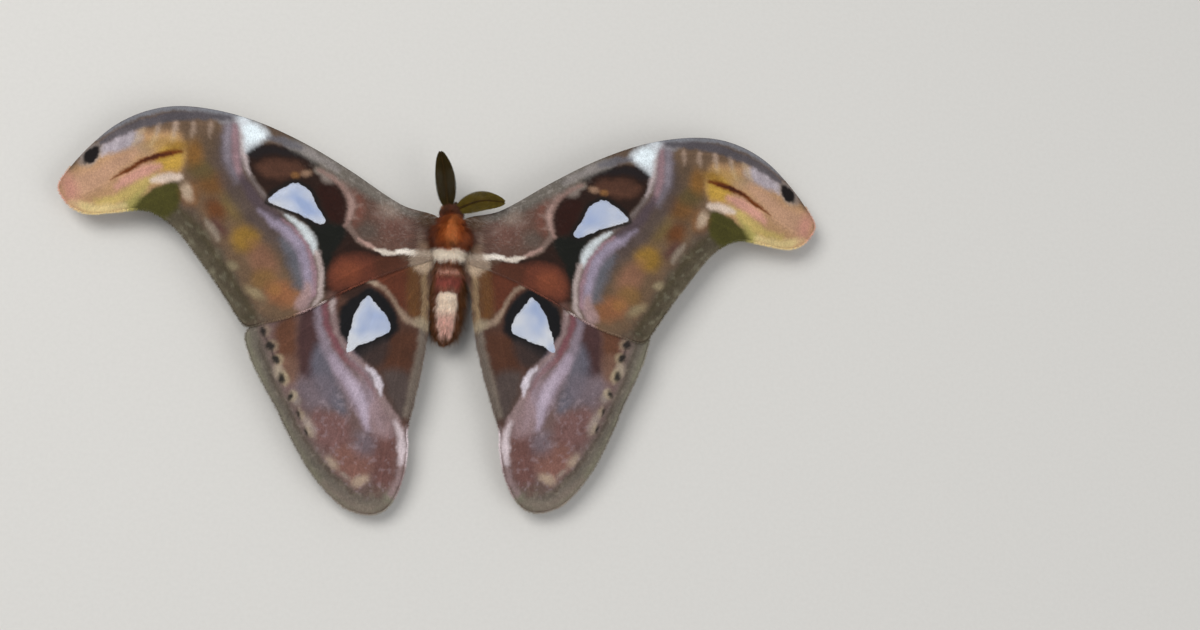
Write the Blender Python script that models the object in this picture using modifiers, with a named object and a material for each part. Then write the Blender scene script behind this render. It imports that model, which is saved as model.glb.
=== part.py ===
"""A male atlas moth at rest with its wings spread, at life size: a still model.

Metres, +Z up, +X to the moth's right, +Y towards its head. Six feet stand on small flats at z = 0.
Along the body, y is counted from the white band across the back, and x from the body's middle line.
Everything hangs on one empty, which centres the whole moth over the origin.
"""

import math

import bmesh
import bpy
import numpy as np
from mathutils import Matrix, Vector
from mathutils.geometry import delaunay_2d_cdt

SIDES = {"left": -1, "right": 1}
GAP = 0.0003  # air kept between two pieces that touch in life

# Head, thorax and abdomen: each an oval skin between its two ends along y
THORAX = dict(ends=(0.0112, -0.0026), half_width=(0.0044, 0.0060), half_height=(0.0046, 0.0058),
              middle=(0.0094, 0.0090), fullness=2.5)
HEAD = dict(ends=(0.0143, 0.0086), half_width=(0.0029, 0.0031), half_height=(0.0027, 0.0028),
            middle=(0.0088, 0.0092), fullness=2.2)
ABDOMEN = dict(ends=(0.0004, -0.0245), half_width=(0.0046, 0.0034), half_height=(0.0045, 0.0032),
               middle=(0.0083, 0.0060), fullness=2.8)
BODY_SIDES = 26
THORAX_RINGS = 16
HEAD_RINGS = 9
SHOULDER_FLAP = 0.16  # rise of the flap of scales over each forewing's root, as a share of the thorax's width
SHOULDER_FLAP_ANGLE = math.radians(48)
COLLAR_GROOVE = 0.07  # depth of the grooves behind the collar and before the white band, as the same share
ABDOMEN_SEGMENTS = 7
SEGMENT_SHARES = (0.0, 0.12, 0.5, 0.88)
SEGMENT_STEP = 0.10  # share of the width by which a segment's rear edge stands over the next

# Eyes, palps and antennae
EYE_RADIUS = 0.0017
EYE_PLACE = Vector((0.0023, 0.0122, 0.0086))
PALP_ROOT = Vector((0.0008, 0.0128, 0.0074))
PALP_TIP = Vector((0.0012, 0.0158, 0.0084))
PALP_RADIUS = 0.0007
ANTENNA_ROOT = Vector((0.0011, 0.0128, 0.0104))
ANTENNA_TIPS = {"left": Vector((-0.0042, 0.0285, 0.0128)), "right": Vector((0.0142, 0.0150, 0.0142))}
ANTENNA_BOW = Vector((0.0, 0.0012, 0.0008))
ANTENNA_WIDTH = 0.0058
SHAFT_RADII = (0.00055, 0.00032)
RAY_PAIRS = 14
RAY_RADII = (0.00031, 0.00016)
RAY_LEAN = math.radians(28)  # how far each ray leans towards the tip
RAY_DROOP = math.radians(12)

# Wings: both pairs follow one smooth surface, the forewings just above it and the hindwings just below
HALF_SPAN = 0.106
TAIL_REACH = 0.0714
WING_ROOT_Z = 0.0094
WING_RISE = 0.0010
WING_DROOP = 0.0038
TAIL_DROOP = 0.0044
WING_SPACING = 0.0008
MEMBRANE = 0.0005
VEIN_THICKNESS = 0.0010
VEIN_HALF_WIDTH = 0.0009
ROOT_THICKNESS = 0.0010
ROOT_REACH = 0.012
EDGE_STEP = 0.0032
VEIN_STEP = 0.0045
INNER_STEP = 0.0085
FOREWING = dict(
    hinge=(0.0050, 0.0060),
    turn=math.radians(1.6),
    above=WING_SPACING,
    edge=((0.0030, 0.0096), (0.0140, 0.0133), (0.0280, 0.0220), (0.0400, 0.0288), (0.0520, 0.0341),
          (0.0640, 0.0374), (0.0750, 0.0384), (0.0840, 0.0367), (0.0920, 0.0326), (0.0985, 0.0265),
          (0.1035, 0.0202), (0.1063, 0.0152), (0.1054, 0.0120), (0.1025, 0.0088), (0.0980, 0.0072),
          (0.0910, 0.0079), (0.0840, 0.0087), (0.0790, 0.0070), (0.0740, 0.0030), (0.0675, -0.0052),
          (0.0615, -0.0135), (0.0572, -0.0200), (0.0546, -0.0225), (0.0495, -0.0213),
          (0.0430, -0.0193), (0.0365, -0.0163), (0.0290, -0.0118), (0.0218, -0.0082),
          (0.0136, -0.0047), (0.0030, -0.0006)),
    veins=(((0.0050, 0.0080), (0.0200, 0.0152), (0.0380, 0.0245), (0.0500, 0.0293), (0.0640, 0.0328),
            (0.0800, 0.0332), (0.0900, 0.0300)),
           ((0.0380, 0.0245), (0.0520, 0.0243), (0.0680, 0.0242), (0.0840, 0.0204), (0.1010, 0.0120)),
           ((0.0425, 0.0205), (0.0560, 0.0188), (0.0700, 0.0158), (0.0830, 0.0108)),
           ((0.0430, 0.0150), (0.0580, 0.0094), (0.0700, 0.0010)),
           ((0.0415, 0.0098), (0.0540, 0.0016), (0.0640, -0.0075)),
           ((0.0370, 0.0046), (0.0485, -0.0055), (0.0585, -0.0150)),
           ((0.0260, 0.0030), (0.0400, -0.0080), (0.0525, -0.0195)),
           ((0.0050, 0.0020), (0.0200, -0.0030), (0.0350, -0.0115), (0.0470, -0.0190)),
           ((0.0050, 0.0045), (0.0260, 0.0030), (0.0370, 0.0046), (0.0415, 0.0098), (0.0430, 0.0150),
            (0.0425, 0.0205), (0.0380, 0.0245))),
)
HINDWING = dict(
    hinge=(0.0050, 0.0000),
    turn=math.radians(4.4),
    above=-WING_SPACING,
    edge=((0.0030, 0.0020), (0.0150, -0.0005), (0.0280, -0.0050), (0.0410, -0.0115), (0.0505, -0.0173),
          (0.0556, -0.0218), (0.0548, -0.0275), (0.0524, -0.0334), (0.0474, -0.0430), (0.0447, -0.0490),
          (0.0386, -0.0600), (0.0315, -0.0682), (0.0265, -0.0709), (0.0220, -0.0714),
          (0.0184, -0.0697), (0.0156, -0.0655), (0.0136, -0.0595), (0.0128, -0.0535),
          (0.0128, -0.0490), (0.0110, -0.0420), (0.0088, -0.0330), (0.0071, -0.0245),
          (0.0062, -0.0170), (0.0058, -0.0090), (0.0030, -0.0030)),
    veins=(((0.0050, 0.0000), (0.0200, -0.0035), (0.0380, -0.0120), (0.0530, -0.0210)),
           ((0.0050, -0.0012), (0.0200, -0.0085), (0.0360, -0.0180), (0.0515, -0.0300)),
           ((0.0200, -0.0085), (0.0330, -0.0240), (0.0460, -0.0415)),
           ((0.0205, -0.0110), (0.0300, -0.0320), (0.0415, -0.0510)),
           ((0.0190, -0.0150), (0.0260, -0.0380), (0.0360, -0.0600)),
           ((0.0170, -0.0170), (0.0215, -0.0400), (0.0290, -0.0670)),
           ((0.0120, -0.0130), (0.0160, -0.0380), (0.0210, -0.0680)),
           ((0.0055, -0.0035), (0.0083, -0.0200), (0.0115, -0.0360), (0.0150, -0.0560)),
           ((0.0055, -0.0035), (0.0120, -0.0130), (0.0170, -0.0170), (0.0190, -0.0150),
            (0.0205, -0.0110), (0.0200, -0.0085))),
)

# Legs: hip, knee, ankle, heel and toe of the right leg, and the leg's radius at each
FOOT_HEIGHT = 0.0003  # the foot's middle line: its flat is a little narrower than the foot
LEG_RADII = (0.0011, 0.0010, 0.0006, 0.0005, 0.0005)
LEGS = {
    "fore": ((0.0026, 0.0078, 0.0056), (0.0070, 0.0104, 0.0066), (0.0094, 0.0116, 0.0016),
             (0.0108, 0.0119, FOOT_HEIGHT), (0.0138, 0.0121, FOOT_HEIGHT)),
    "mid": ((0.0030, 0.0040, 0.0050), (0.0094, 0.0040, 0.0066), (0.0140, 0.0014, 0.0016),
            (0.0152, 0.0004, FOOT_HEIGHT), (0.0180, -0.0028, FOOT_HEIGHT)),
    "hind": ((0.0028, 0.0006, 0.0050), (0.0082, -0.0060, 0.0062), (0.0112, -0.0152, 0.0016),
             (0.0118, -0.0172, FOOT_HEIGHT), (0.0126, -0.0214, FOOT_HEIGHT)),
}
LEG_ROUNDNESS = 4  # gives the tube twelve sides
LEG_STEP = 0.0018

COLOURS = {
    "thorax": (0.45, 0.13, 0.03, 0.85),
    "head": (0.40, 0.13, 0.04, 0.85),
    "abdomen": (0.36, 0.16, 0.10, 0.85),
    "eye": (0.03, 0.02, 0.02, 0.20),
    "antenna": (0.20, 0.13, 0.04, 0.75),
    "palp": (0.38, 0.12, 0.04, 0.85),
    "forewing": (0.34, 0.13, 0.09, 0.80),
    "hindwing": (0.30, 0.12, 0.10, 0.80),
    "leg": (0.30, 0.12, 0.05, 0.80),
}


def material(kind):
    """One Principled finish for each kind of piece: colour and roughness from the table above."""
    name = f"moth_{kind}"
    if name in bpy.data.materials:
        return bpy.data.materials[name]
    finish = bpy.data.materials.new(name)
    finish.use_nodes = True
    shader = finish.node_tree.nodes["Principled BSDF"]
    red, green, blue, roughness = COLOURS[kind]
    shader.inputs["Base Color"].default_value = (red, green, blue, 1.0)
    shader.inputs["Roughness"].default_value = roughness
    shader.inputs["Metallic"].default_value = 0.0
    return finish


def new_object(name, mesh, collection):
    obj = bpy.data.objects.new(name, mesh)
    collection.objects.link(obj)
    return obj


def smooth_line(points, step, closed=False):
    """Points about one step apart on the smooth curve that runs through the given points."""
    knots = np.array(points, float)
    if closed:
        knots = np.vstack([knots[-1:], knots, knots[:2]])
    else:
        knots = np.vstack([2 * knots[0] - knots[1], knots, 2 * knots[-1] - knots[-2]])
    t = np.linspace(0, 1, 24, endpoint=False)[:, None]
    pieces = []
    for a, b, c, d in zip(knots, knots[1:], knots[2:], knots[3:]):
        bend = (2 * a - 5 * b + 4 * c - d) * t**2 + (3 * b - a - 3 * c + d) * t**3
        pieces.append(b + 0.5 * ((c - a) * t + bend))
    fine = np.vstack(pieces + [knots[-2:-1]])
    run = np.concatenate([[0], np.cumsum(np.linalg.norm(np.diff(fine, axis=0), axis=1))])
    count = max(2, round(run[-1] / step))
    even = np.linspace(0, run[-1], count + 1)
    line = np.column_stack([np.interp(even, run, fine[:, k]) for k in range(fine.shape[1])])
    return line[:-1] if closed else line


def rounded_places(rings):
    """Shares of a body's length, closer together at its two round ends."""
    return [(1 - math.cos(math.pi * ring / rings)) / 2 for ring in range(rings + 1)]


def segment_places():
    """Shares of the abdomen's length at which its segments widen and step in again."""
    steps = [(k + share) / ABDOMEN_SEGMENTS for k in range(ABDOMEN_SEGMENTS) for share in SEGMENT_SHARES]
    return [0.0, 0.004, 0.03] + [step for step in steps if 0.05 < step < 0.94] + [0.96, 0.985, 0.997, 1.0]


def oval_skin(name, shape, places, swell=None):
    """A closed skin of oval sections: it rounds off at both ends, and swell() may raise parts of it."""
    front, back = shape["ends"]
    sides = BODY_SIDES
    rows = []
    for t in places:
        round_off = (1 - abs(2 * t - 1) ** shape["fullness"]) ** (1 / shape["fullness"])
        half_width, half_height, middle = (
            (1 - t) * shape[key][0] + t * shape[key][1] for key in ("half_width", "half_height", "middle")
        )
        rows.append((t, front + (back - front) * t, half_width * round_off, half_height * round_off, middle))
    shell = bmesh.new()
    loops = []
    for t, y, half_width, half_height, middle in rows[1:-1]:
        loop = []
        for k in range(sides):
            angle = 2 * math.pi * (k + 0.5) / sides
            rise = swell(t, angle) if swell else 1.0
            x = half_width * math.sin(angle) * rise
            z = half_height * math.cos(angle) * rise
            loop.append(shell.verts.new((x, y, middle + z)))
        loops.append(loop)
    poles = [shell.verts.new((0, rows[k][1], rows[k][4])) for k in (0, -1)]
    for first, second in zip(loops, loops[1:]):
        for k in range(sides):
            after = (k + 1) % sides
            shell.faces.new((first[k], first[after], second[after], second[k]))
    for k in range(sides):
        after = (k + 1) % sides
        shell.faces.new((poles[0], loops[0][after], loops[0][k]))
        shell.faces.new((poles[1], loops[-1][k], loops[-1][after]))
    bmesh.ops.recalc_face_normals(shell, faces=shell.faces)
    mesh = bpy.data.meshes.new(name)
    shell.to_mesh(mesh)
    shell.free()
    mesh.shade_smooth()
    return mesh


def thorax_swell(t, angle):
    """Flaps of long scales over the forewings' roots, with grooves behind the collar and before the band."""
    side = min(angle, 2 * math.pi - angle)
    across = math.exp(-(((side - SHOULDER_FLAP_ANGLE) / 0.28) ** 2))
    along = math.exp(-(((t - 0.50) / 0.20) ** 2))
    grooves = math.exp(-(((t - 0.20) / 0.035) ** 2)) + math.exp(-(((t - 0.80) / 0.03) ** 2))
    return 1 + SHOULDER_FLAP * across * along - COLLAR_GROOVE * grooves


def segment_swell(t, angle):
    """Each ring of the abdomen widens to its rear edge, which stands a little over the next ring."""
    place = t * ABDOMEN_SEGMENTS
    share = place - math.floor(place + 1e-6)
    if t > 0.94:
        return 1.0
    return 1 + SEGMENT_STEP * (min((share + 0.1) / 0.98, (1 - share) / 0.12) - 0.5)


def tube_mesh(name, points, radii, collection, resolution=2):
    """A round tapered tube along a line of points, closed at both ends, as a mesh object."""
    curve = bpy.data.curves.new(name, "CURVE")
    curve.dimensions = "3D"
    curve.bevel_depth = 1.0
    curve.bevel_resolution = resolution
    curve.use_fill_caps = True
    spline = curve.splines.new("POLY")
    spline.points.add(len(points) - 1)
    for place, point, radius in zip(spline.points, points, radii):
        place.co = (*point, 1)
        place.radius = radius
    guide = bpy.data.objects.new(name + "_line", curve)
    collection.objects.link(guide)
    graph = bpy.context.evaluated_depsgraph_get()
    mesh = bpy.data.meshes.new_from_object(guide.evaluated_get(graph))
    bpy.data.objects.remove(guide, do_unlink=True)
    skin = bmesh.new()
    skin.from_mesh(mesh)
    bmesh.ops.remove_doubles(skin, verts=skin.verts, dist=1e-6)
    bmesh.ops.recalc_face_normals(skin, faces=skin.faces)
    skin.to_mesh(mesh)
    skin.free()
    mesh.shade_smooth()
    return new_object(name, mesh, collection)


def grown_cutter(source, gap, collection):
    """The same skin moved outward by the gap, to cut what grows from it so that the two stay apart."""
    cutter = new_object(source.name + "_cutter", source.data.copy(), collection)
    swell = cutter.modifiers.new("gap", "DISPLACE")
    swell.strength = gap
    swell.mid_level = 0.0
    cutter.hide_render = True
    cutter.display_type = "WIRE"
    return cutter


def cut(obj, cutter):
    boolean = obj.modifiers.new("cut_" + cutter.name, "BOOLEAN")
    boolean.operation = "DIFFERENCE"
    boolean.object = cutter


def apply_modifiers(obj):
    """The object's mesh as its modifiers leave it, of which only the largest closed surface is kept."""
    graph = bpy.context.evaluated_depsgraph_get()
    mesh = bpy.data.meshes.new_from_object(obj.evaluated_get(graph))
    obj.modifiers.clear()
    skin = bmesh.new()
    skin.from_mesh(mesh)
    left = set(skin.verts)
    islands = []
    while left:
        island = set()
        ahead = [left.pop()]
        while ahead:
            vert = ahead.pop()
            island.add(vert)
            near = {edge.other_vert(vert) for edge in vert.link_edges} & left
            left -= near
            ahead.extend(near)
        islands.append(island)
    islands.sort(key=len)
    for island in islands[:-1]:
        bmesh.ops.delete(skin, geom=list(island), context="VERTS")
    skin.to_mesh(mesh)
    skin.free()
    mesh.shade_smooth()
    mesh.set_sharp_from_angle(angle=math.radians(50))
    obj.data = mesh
    return obj


def wing_height(x, y):
    """Height of the spread wings: a slight rise from the body, then a droop to the tips and tails."""
    out = np.abs(x) / HALF_SPAN
    back = np.maximum(0.0, -y) / TAIL_REACH
    return WING_ROOT_Z + WING_RISE * np.sin(np.pi * out) - WING_DROOP * out**2 - TAIL_DROOP * back**2


def turned(points, wing, side):
    """Places on the right wing, mirrored for the left one and turned about the wing's hinge."""
    points = np.array(points, float) * (side, 1)
    hinge = np.array(wing["hinge"]) * (side, 1)
    c, s = math.cos(wing["turn"]), math.sin(wing["turn"])
    return hinge + (points - hinge) @ np.array([[c, s], [-s, c]])


def distance_to_line(points, line):
    """How far each point lies from a line of short straight runs."""
    start, end = line[:-1], line[1:]
    run = end - start
    reach = points[:, None] - start
    share = np.clip((reach * run).sum(2) / (run**2).sum(1), 0, 1)
    return np.linalg.norm(reach - share[..., None] * run, axis=2).min(1)


def inside(points, edge):
    """True for each point within a closed outline: it counts the crossings of a ray along +x."""
    x, y = points[:, :1], points[:, 1:]
    ax, ay = edge.T
    bx, by = np.roll(edge, -1, axis=0).T
    crosses = (ay > y) != (by > y)
    with np.errstate(divide="ignore", invalid="ignore"):
        at = ax + (y - ay) * (bx - ax) / (by - ay)
    return (crosses & (x < at)).sum(1) % 2 == 1


def wing_sheet(wing):
    """The flat right wing in triangles, with edges along the crest and both feet of every vein.

    Returns its points and triangles, and the thickness of the wing at each point.
    """
    edge = smooth_line(wing["edge"], EDGE_STEP, closed=True)
    crests = [smooth_line(vein, VEIN_STEP) for vein in wing["veins"]]
    points = [edge]
    links = [np.column_stack([np.arange(len(edge)), np.roll(np.arange(len(edge)), -1)])]
    count = len(edge)
    for crest in crests:
        along = np.gradient(crest, axis=0)
        across = np.column_stack([-along[:, 1], along[:, 0]]) / np.linalg.norm(along, axis=1)[:, None]
        for offset in (-VEIN_HALF_WIDTH, 0.0, VEIN_HALF_WIDTH):
            points.append(crest + offset * across)
            order = np.arange(count, count + len(crest))
            links.append(np.column_stack([order[:-1], order[1:]]))
            count += len(crest)
    low, high = edge.min(0), edge.max(0)
    columns = np.arange(low[0], high[0], INNER_STEP)
    rows = np.arange(low[1], high[1], INNER_STEP * 0.87)
    grid = np.array([(x + (k % 2) * INNER_STEP / 2, y) for k, y in enumerate(rows) for x in columns])
    loop = np.vstack([edge, edge[:1]])
    clear = np.min([distance_to_line(grid, line) for line in [loop] + crests], axis=0)
    points.append(grid[inside(grid, edge) & (clear > 0.4 * INNER_STEP)])
    flat = [Vector(point * 1000) for point in np.vstack(points)]
    verts, _, faces, *_ = delaunay_2d_cdt(flat, np.vstack(links).tolist(), [], 1, 0.02)
    flat = np.array([tuple(vert) for vert in verts]) / 1000
    near = np.min([distance_to_line(flat, crest) for crest in crests], axis=0)
    ridge = np.clip(1 - near / VEIN_HALF_WIDTH, 0, 1)
    thick = MEMBRANE + (VEIN_THICKNESS - MEMBRANE) * ridge
    root = np.linalg.norm(flat - wing["hinge"], axis=1) / ROOT_REACH
    thick = np.maximum(thick, MEMBRANE + (ROOT_THICKNESS - MEMBRANE) * np.clip(1.3 - root, 0, 1))
    return flat, faces, thick


def build_wing(kind, wing, side_name, cutters, collection):
    """A membrane with its veins raised in both of its own faces, cut clear of the body at its root."""
    side = SIDES[side_name]
    flat, faces, thick = wing_sheet(wing)
    places = turned(flat, wing, side)
    heights = wing_height(places[:, 0], places[:, 1]) + wing["above"]
    mesh = bpy.data.meshes.new(f"{kind}_{side_name}")
    order = [face[::side] for face in faces]
    mesh.from_pydata(np.column_stack([places, heights]).tolist(), [], order)
    obj = new_object(f"{kind}_{side_name}", mesh, collection)
    group = obj.vertex_groups.new(name="thickness")
    for index, value in enumerate(thick):
        group.add([index], float(value / VEIN_THICKNESS), "REPLACE")
    wall = obj.modifiers.new("membrane", "SOLIDIFY")
    wall.thickness = VEIN_THICKNESS
    wall.offset = 0.0
    wall.vertex_group = group.name
    for cutter in cutters:
        cut(obj, cutter)
    apply_modifiers(obj)
    obj.data.materials.append(material(kind))
    return obj


def build_leg(name, joints, side_name, body_cutter, floor, collection):
    """Thigh, shin and foot in one bent tapered tube, flat where the foot lies on the floor."""
    side = SIDES[side_name]
    knots = np.array([(*joint, radius) for joint, radius in zip(joints, LEG_RADII)])
    knots[:, 0] *= side
    line = smooth_line(knots, LEG_STEP)
    line[:, 2] = np.maximum(line[:, 2], FOOT_HEIGHT)
    leg = tube_mesh(f"leg_{name}_{side_name}", line[:, :3], line[:, 3], collection, LEG_ROUNDNESS)
    cut(leg, body_cutter)
    cut(leg, floor)
    apply_modifiers(leg)
    leg.data.materials.append(material("leg"))
    return leg


def build_eye(side_name, head_cutter, collection):
    """A round compound eye, of which the part outside the head shows."""
    side = SIDES[side_name]
    ball = bmesh.new()
    bmesh.ops.create_uvsphere(ball, u_segments=16, v_segments=10, radius=EYE_RADIUS)
    mesh = bpy.data.meshes.new(f"eye_{side_name}")
    ball.to_mesh(mesh)
    ball.free()
    eye = new_object(f"eye_{side_name}", mesh, collection)
    eye.location = (side * EYE_PLACE.x, EYE_PLACE.y, EYE_PLACE.z)
    cut(eye, head_cutter)
    apply_modifiers(eye)
    eye.data.materials.append(material("eye"))
    return eye


def build_palp(side_name, head_cutter, collection):
    """A short furry feeler that stands up in front of the face."""
    side = SIDES[side_name]
    mirror = Vector((side, 1, 1))
    line = smooth_line([PALP_ROOT * mirror, PALP_TIP * mirror], 0.0006)
    radii = PALP_RADIUS * np.linspace(1.0, 0.55, len(line))
    palp = tube_mesh(f"palp_{side_name}", line, radii, collection)
    cut(palp, head_cutter)
    apply_modifiers(palp)
    palp.data.materials.append(material("palp"))
    return palp


def build_antenna(side_name, head_cutter, collection):
    """The broad feathered feeler: a bowed shaft with a comb of tapered rays along both of its sides."""
    name = f"antenna_{side_name}"
    root = ANTENNA_ROOT * Vector((SIDES[side_name], 1, 1))
    tip = ANTENNA_TIPS[side_name]
    line = smooth_line([root, (root + tip) / 2 + ANTENNA_BOW, tip], (tip - root).length / (RAY_PAIRS + 1))
    shares = np.linspace(0, 1, len(line))
    radii = SHAFT_RADII[0] + (SHAFT_RADII[1] - SHAFT_RADII[0]) * shares
    antenna = tube_mesh(name, line, radii, collection)
    rays = bpy.data.collections.new(name + "_rays")
    bpy.context.scene.collection.children.link(rays)
    tangents = np.gradient(line, axis=0)
    for place, tangent, share in list(zip(line, tangents, shares))[1:-1]:
        along = Vector(tangent).normalized()
        across = along.cross(Vector((0, 0, 1))).normalized()
        down = across.cross(along)
        length = ANTENNA_WIDTH / 2 * math.sin(math.pi * share**0.75) ** 0.6 / math.cos(RAY_LEAN)
        for side in (-1, 1):
            lean = across * side * math.cos(RAY_LEAN) + along * math.sin(RAY_LEAN)
            aim = lean * math.cos(RAY_DROOP) - down * math.sin(RAY_DROOP)
            ray = bmesh.new()
            bmesh.ops.create_cone(
                ray, cap_ends=True, segments=4, radius1=RAY_RADII[0], radius2=RAY_RADII[1], depth=length
            )
            turn = aim.to_track_quat("Z", "Y").to_matrix().to_4x4()
            start = Vector(place) + aim * SHAFT_RADII[1] * 0.4
            ray.transform(Matrix.Translation(start + aim * length / 2) @ turn)
            mesh = bpy.data.meshes.new(name + "_ray")
            ray.to_mesh(mesh)
            ray.free()
            new_object(name + "_ray", mesh, rays)
    join = antenna.modifiers.new("rays", "BOOLEAN")
    join.operation = "UNION"
    join.operand_type = "COLLECTION"
    join.collection = rays
    cut(antenna, head_cutter)
    apply_modifiers(antenna)
    for ray in list(rays.objects):
        bpy.data.objects.remove(ray, do_unlink=True)
    bpy.data.collections.remove(rays)
    antenna.data.materials.append(material("antenna"))
    return antenna


def build_floor(collection):
    """The space below the feet, which cuts their flats at z = 0."""
    box = bmesh.new()
    bmesh.ops.create_cube(box, size=0.1)
    mesh = bpy.data.meshes.new("floor_cutter")
    box.to_mesh(mesh)
    box.free()
    floor = new_object("floor_cutter", mesh, collection)
    floor.location = (0, 0, -0.05)
    floor.hide_render = True
    floor.display_type = "WIRE"
    return floor


def main():
    for obj in list(bpy.data.objects):
        bpy.data.objects.remove(obj, do_unlink=True)
    moth = bpy.data.collections.new("atlas_moth")
    cutters = bpy.data.collections.new("cutters")
    for collection in (moth, cutters):
        bpy.context.scene.collection.children.link(collection)
    cutters.hide_render = True

    thorax_skin = oval_skin("thorax", THORAX, rounded_places(THORAX_RINGS), thorax_swell)
    abdomen_skin = oval_skin("abdomen", ABDOMEN, segment_places(), segment_swell)
    head_skin = oval_skin("head", HEAD, rounded_places(HEAD_RINGS))
    thorax = new_object("thorax", thorax_skin, moth)
    abdomen = new_object("abdomen", abdomen_skin, moth)
    head = new_object("head", head_skin, moth)
    floor = build_floor(cutters)
    thorax_cutter = grown_cutter(thorax, GAP, cutters)
    abdomen_cutter = grown_cutter(abdomen, GAP, cutters)
    head_cutter = grown_cutter(head, GAP, cutters)
    for piece in (abdomen, head):
        cut(piece, thorax_cutter)
        apply_modifiers(piece)
    for piece in (thorax, abdomen, head):
        piece.data.materials.append(material(piece.name))
    for side_name in SIDES:
        build_eye(side_name, head_cutter, moth)
        build_palp(side_name, head_cutter, moth)
        build_antenna(side_name, head_cutter, moth)
        build_wing("forewing", FOREWING, side_name, (thorax_cutter, abdomen_cutter), moth)
        build_wing("hindwing", HINDWING, side_name, (thorax_cutter, abdomen_cutter), moth)
        for name, joints in LEGS.items():
            build_leg(name, joints, side_name, thorax_cutter, floor, moth)

    bpy.context.view_layer.update()
    pieces = list(moth.objects)
    corners = np.array([obj.matrix_world @ Vector(corner) for obj in pieces for corner in obj.bound_box])
    middle = (corners.min(0) + corners.max(0)) / 2
    stand = bpy.data.objects.new("moth_centre", None)
    moth.objects.link(stand)
    for obj in pieces:
        obj.parent = stand
    stand.location = (-middle[0], -middle[1], 0)


main()
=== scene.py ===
"""The looks of a male atlas moth at rest, life size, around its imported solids.

Metres, +Z up, +X to the moth's right, +Y towards its head. The sections follow the animal as it grows
together: body, coat, eyes, palps, antennae, legs, hindwings, forewings, the wings' hair, then the studio.
"""

import math

import bpy
import numpy as np
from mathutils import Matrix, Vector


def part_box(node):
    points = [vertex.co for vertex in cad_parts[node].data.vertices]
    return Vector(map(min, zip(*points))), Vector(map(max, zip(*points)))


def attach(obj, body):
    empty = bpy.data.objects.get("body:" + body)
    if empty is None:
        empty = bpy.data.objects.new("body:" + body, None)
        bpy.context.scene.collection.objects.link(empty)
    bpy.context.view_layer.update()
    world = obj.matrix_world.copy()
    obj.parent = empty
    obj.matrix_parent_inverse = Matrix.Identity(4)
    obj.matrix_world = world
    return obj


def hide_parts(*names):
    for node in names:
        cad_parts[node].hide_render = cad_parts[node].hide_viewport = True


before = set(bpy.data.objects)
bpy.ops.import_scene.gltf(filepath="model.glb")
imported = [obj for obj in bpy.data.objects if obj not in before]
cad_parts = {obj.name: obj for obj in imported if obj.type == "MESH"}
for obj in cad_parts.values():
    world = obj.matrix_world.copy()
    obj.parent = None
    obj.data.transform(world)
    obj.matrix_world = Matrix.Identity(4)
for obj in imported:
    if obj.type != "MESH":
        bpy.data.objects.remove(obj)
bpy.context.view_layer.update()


# The body. A moth's head, thorax and abdomen are one tube of chitin rings under a dense coat.
# Here they are one closed skin of oval sections, sunk inside the coat's outer surface by the coat's depth,
# and the marking colours of coat and skin come from the same rule.

THORAX_FRONT = 0.0112
thorax_low, thorax_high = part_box("thorax")
# Places on the moth are counted from its middle line, the white band across its back, and the floor
PLACE = np.array([(thorax_low.x + thorax_high.x) / 2, thorax_high.y - THORAX_FRONT, 0.0])
PARTS = {
    "head": dict(ends=(0.0143, 0.0086), half_width=(0.0029, 0.0031), half_height=(0.0027, 0.0028),
                 middle=(0.0088, 0.0092), fullness=2.2),
    "thorax": dict(ends=(THORAX_FRONT, -0.0026), half_width=(0.0044, 0.0060), half_height=(0.0046, 0.0058),
                   middle=(0.0094, 0.0090), fullness=2.5),
    "abdomen": dict(ends=(0.0004, -0.0245), half_width=(0.0046, 0.0034), half_height=(0.0045, 0.0032),
                    middle=(0.0083, 0.0060), fullness=2.8),
}
BODY_STATIONS = 150
BODY_SIDES = 88
BODY_RADIUS = 0.0045  # mean, which turns an angle from the back into a length along the skin
SEGMENTS = 7
AXIS_PLACES = (-0.0245, -0.0040, 0.0, 0.0040, 0.0110, 0.0143)
AXIS_HEIGHTS = (0.0060, 0.0079, 0.0086, 0.0091, 0.0091, 0.0088)
COAT_PLACES = (-0.0245, -0.0200, -0.0040, 0.0000, 0.0085, 0.0105, 0.0143)
COAT_DEPTHS = (0.0003, 0.0003, 0.0004, 0.0006, 0.0006, 0.0004, 0.0003)


def linear(code):
    """A colour written as sRGB hex, as linear red, green and blue."""
    parts = np.array([int(code[k:k + 2], 16) for k in (1, 3, 5)]) / 255
    return np.where(parts <= 0.04045, parts / 12.92, ((parts + 0.055) / 1.055) ** 2.4)


def ease(value, low, high):
    """0 below low, 1 above high, and a smooth S between them."""
    share = np.clip((value - low) / (high - low), 0, 1)
    return share * share * (3 - 2 * share)


def bell(value, middle, reach):
    """1 at the middle, falling to about a third at that reach from it."""
    return np.exp(-(((value - middle) / reach) ** 2))


def drift(places, size, seed):
    """Smooth noise from -1 to 1: random values on a square lattice of that size, eased in between."""
    lattice = np.random.default_rng(seed).random((256, 256)) * 2 - 1
    spot = places / size + 1000.5
    low = np.floor(spot).astype(int)
    share = spot - low
    share = share * share * (3 - 2 * share)
    i, j = low[..., 0] % 256, low[..., 1] % 256
    k, m = (i + 1) % 256, (j + 1) % 256
    f, g = share[..., 0], share[..., 1]
    near = lattice[i, j] * (1 - g) + lattice[i, m] * g
    return near * (1 - f) + (lattice[k, j] * (1 - g) + lattice[k, m] * g) * f


def lay(colours, mask, code):
    """Lays one colour over the others, as far as the mask says."""
    colours += np.clip(mask, 0, 1)[..., None] * (linear(code) - colours)


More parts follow.
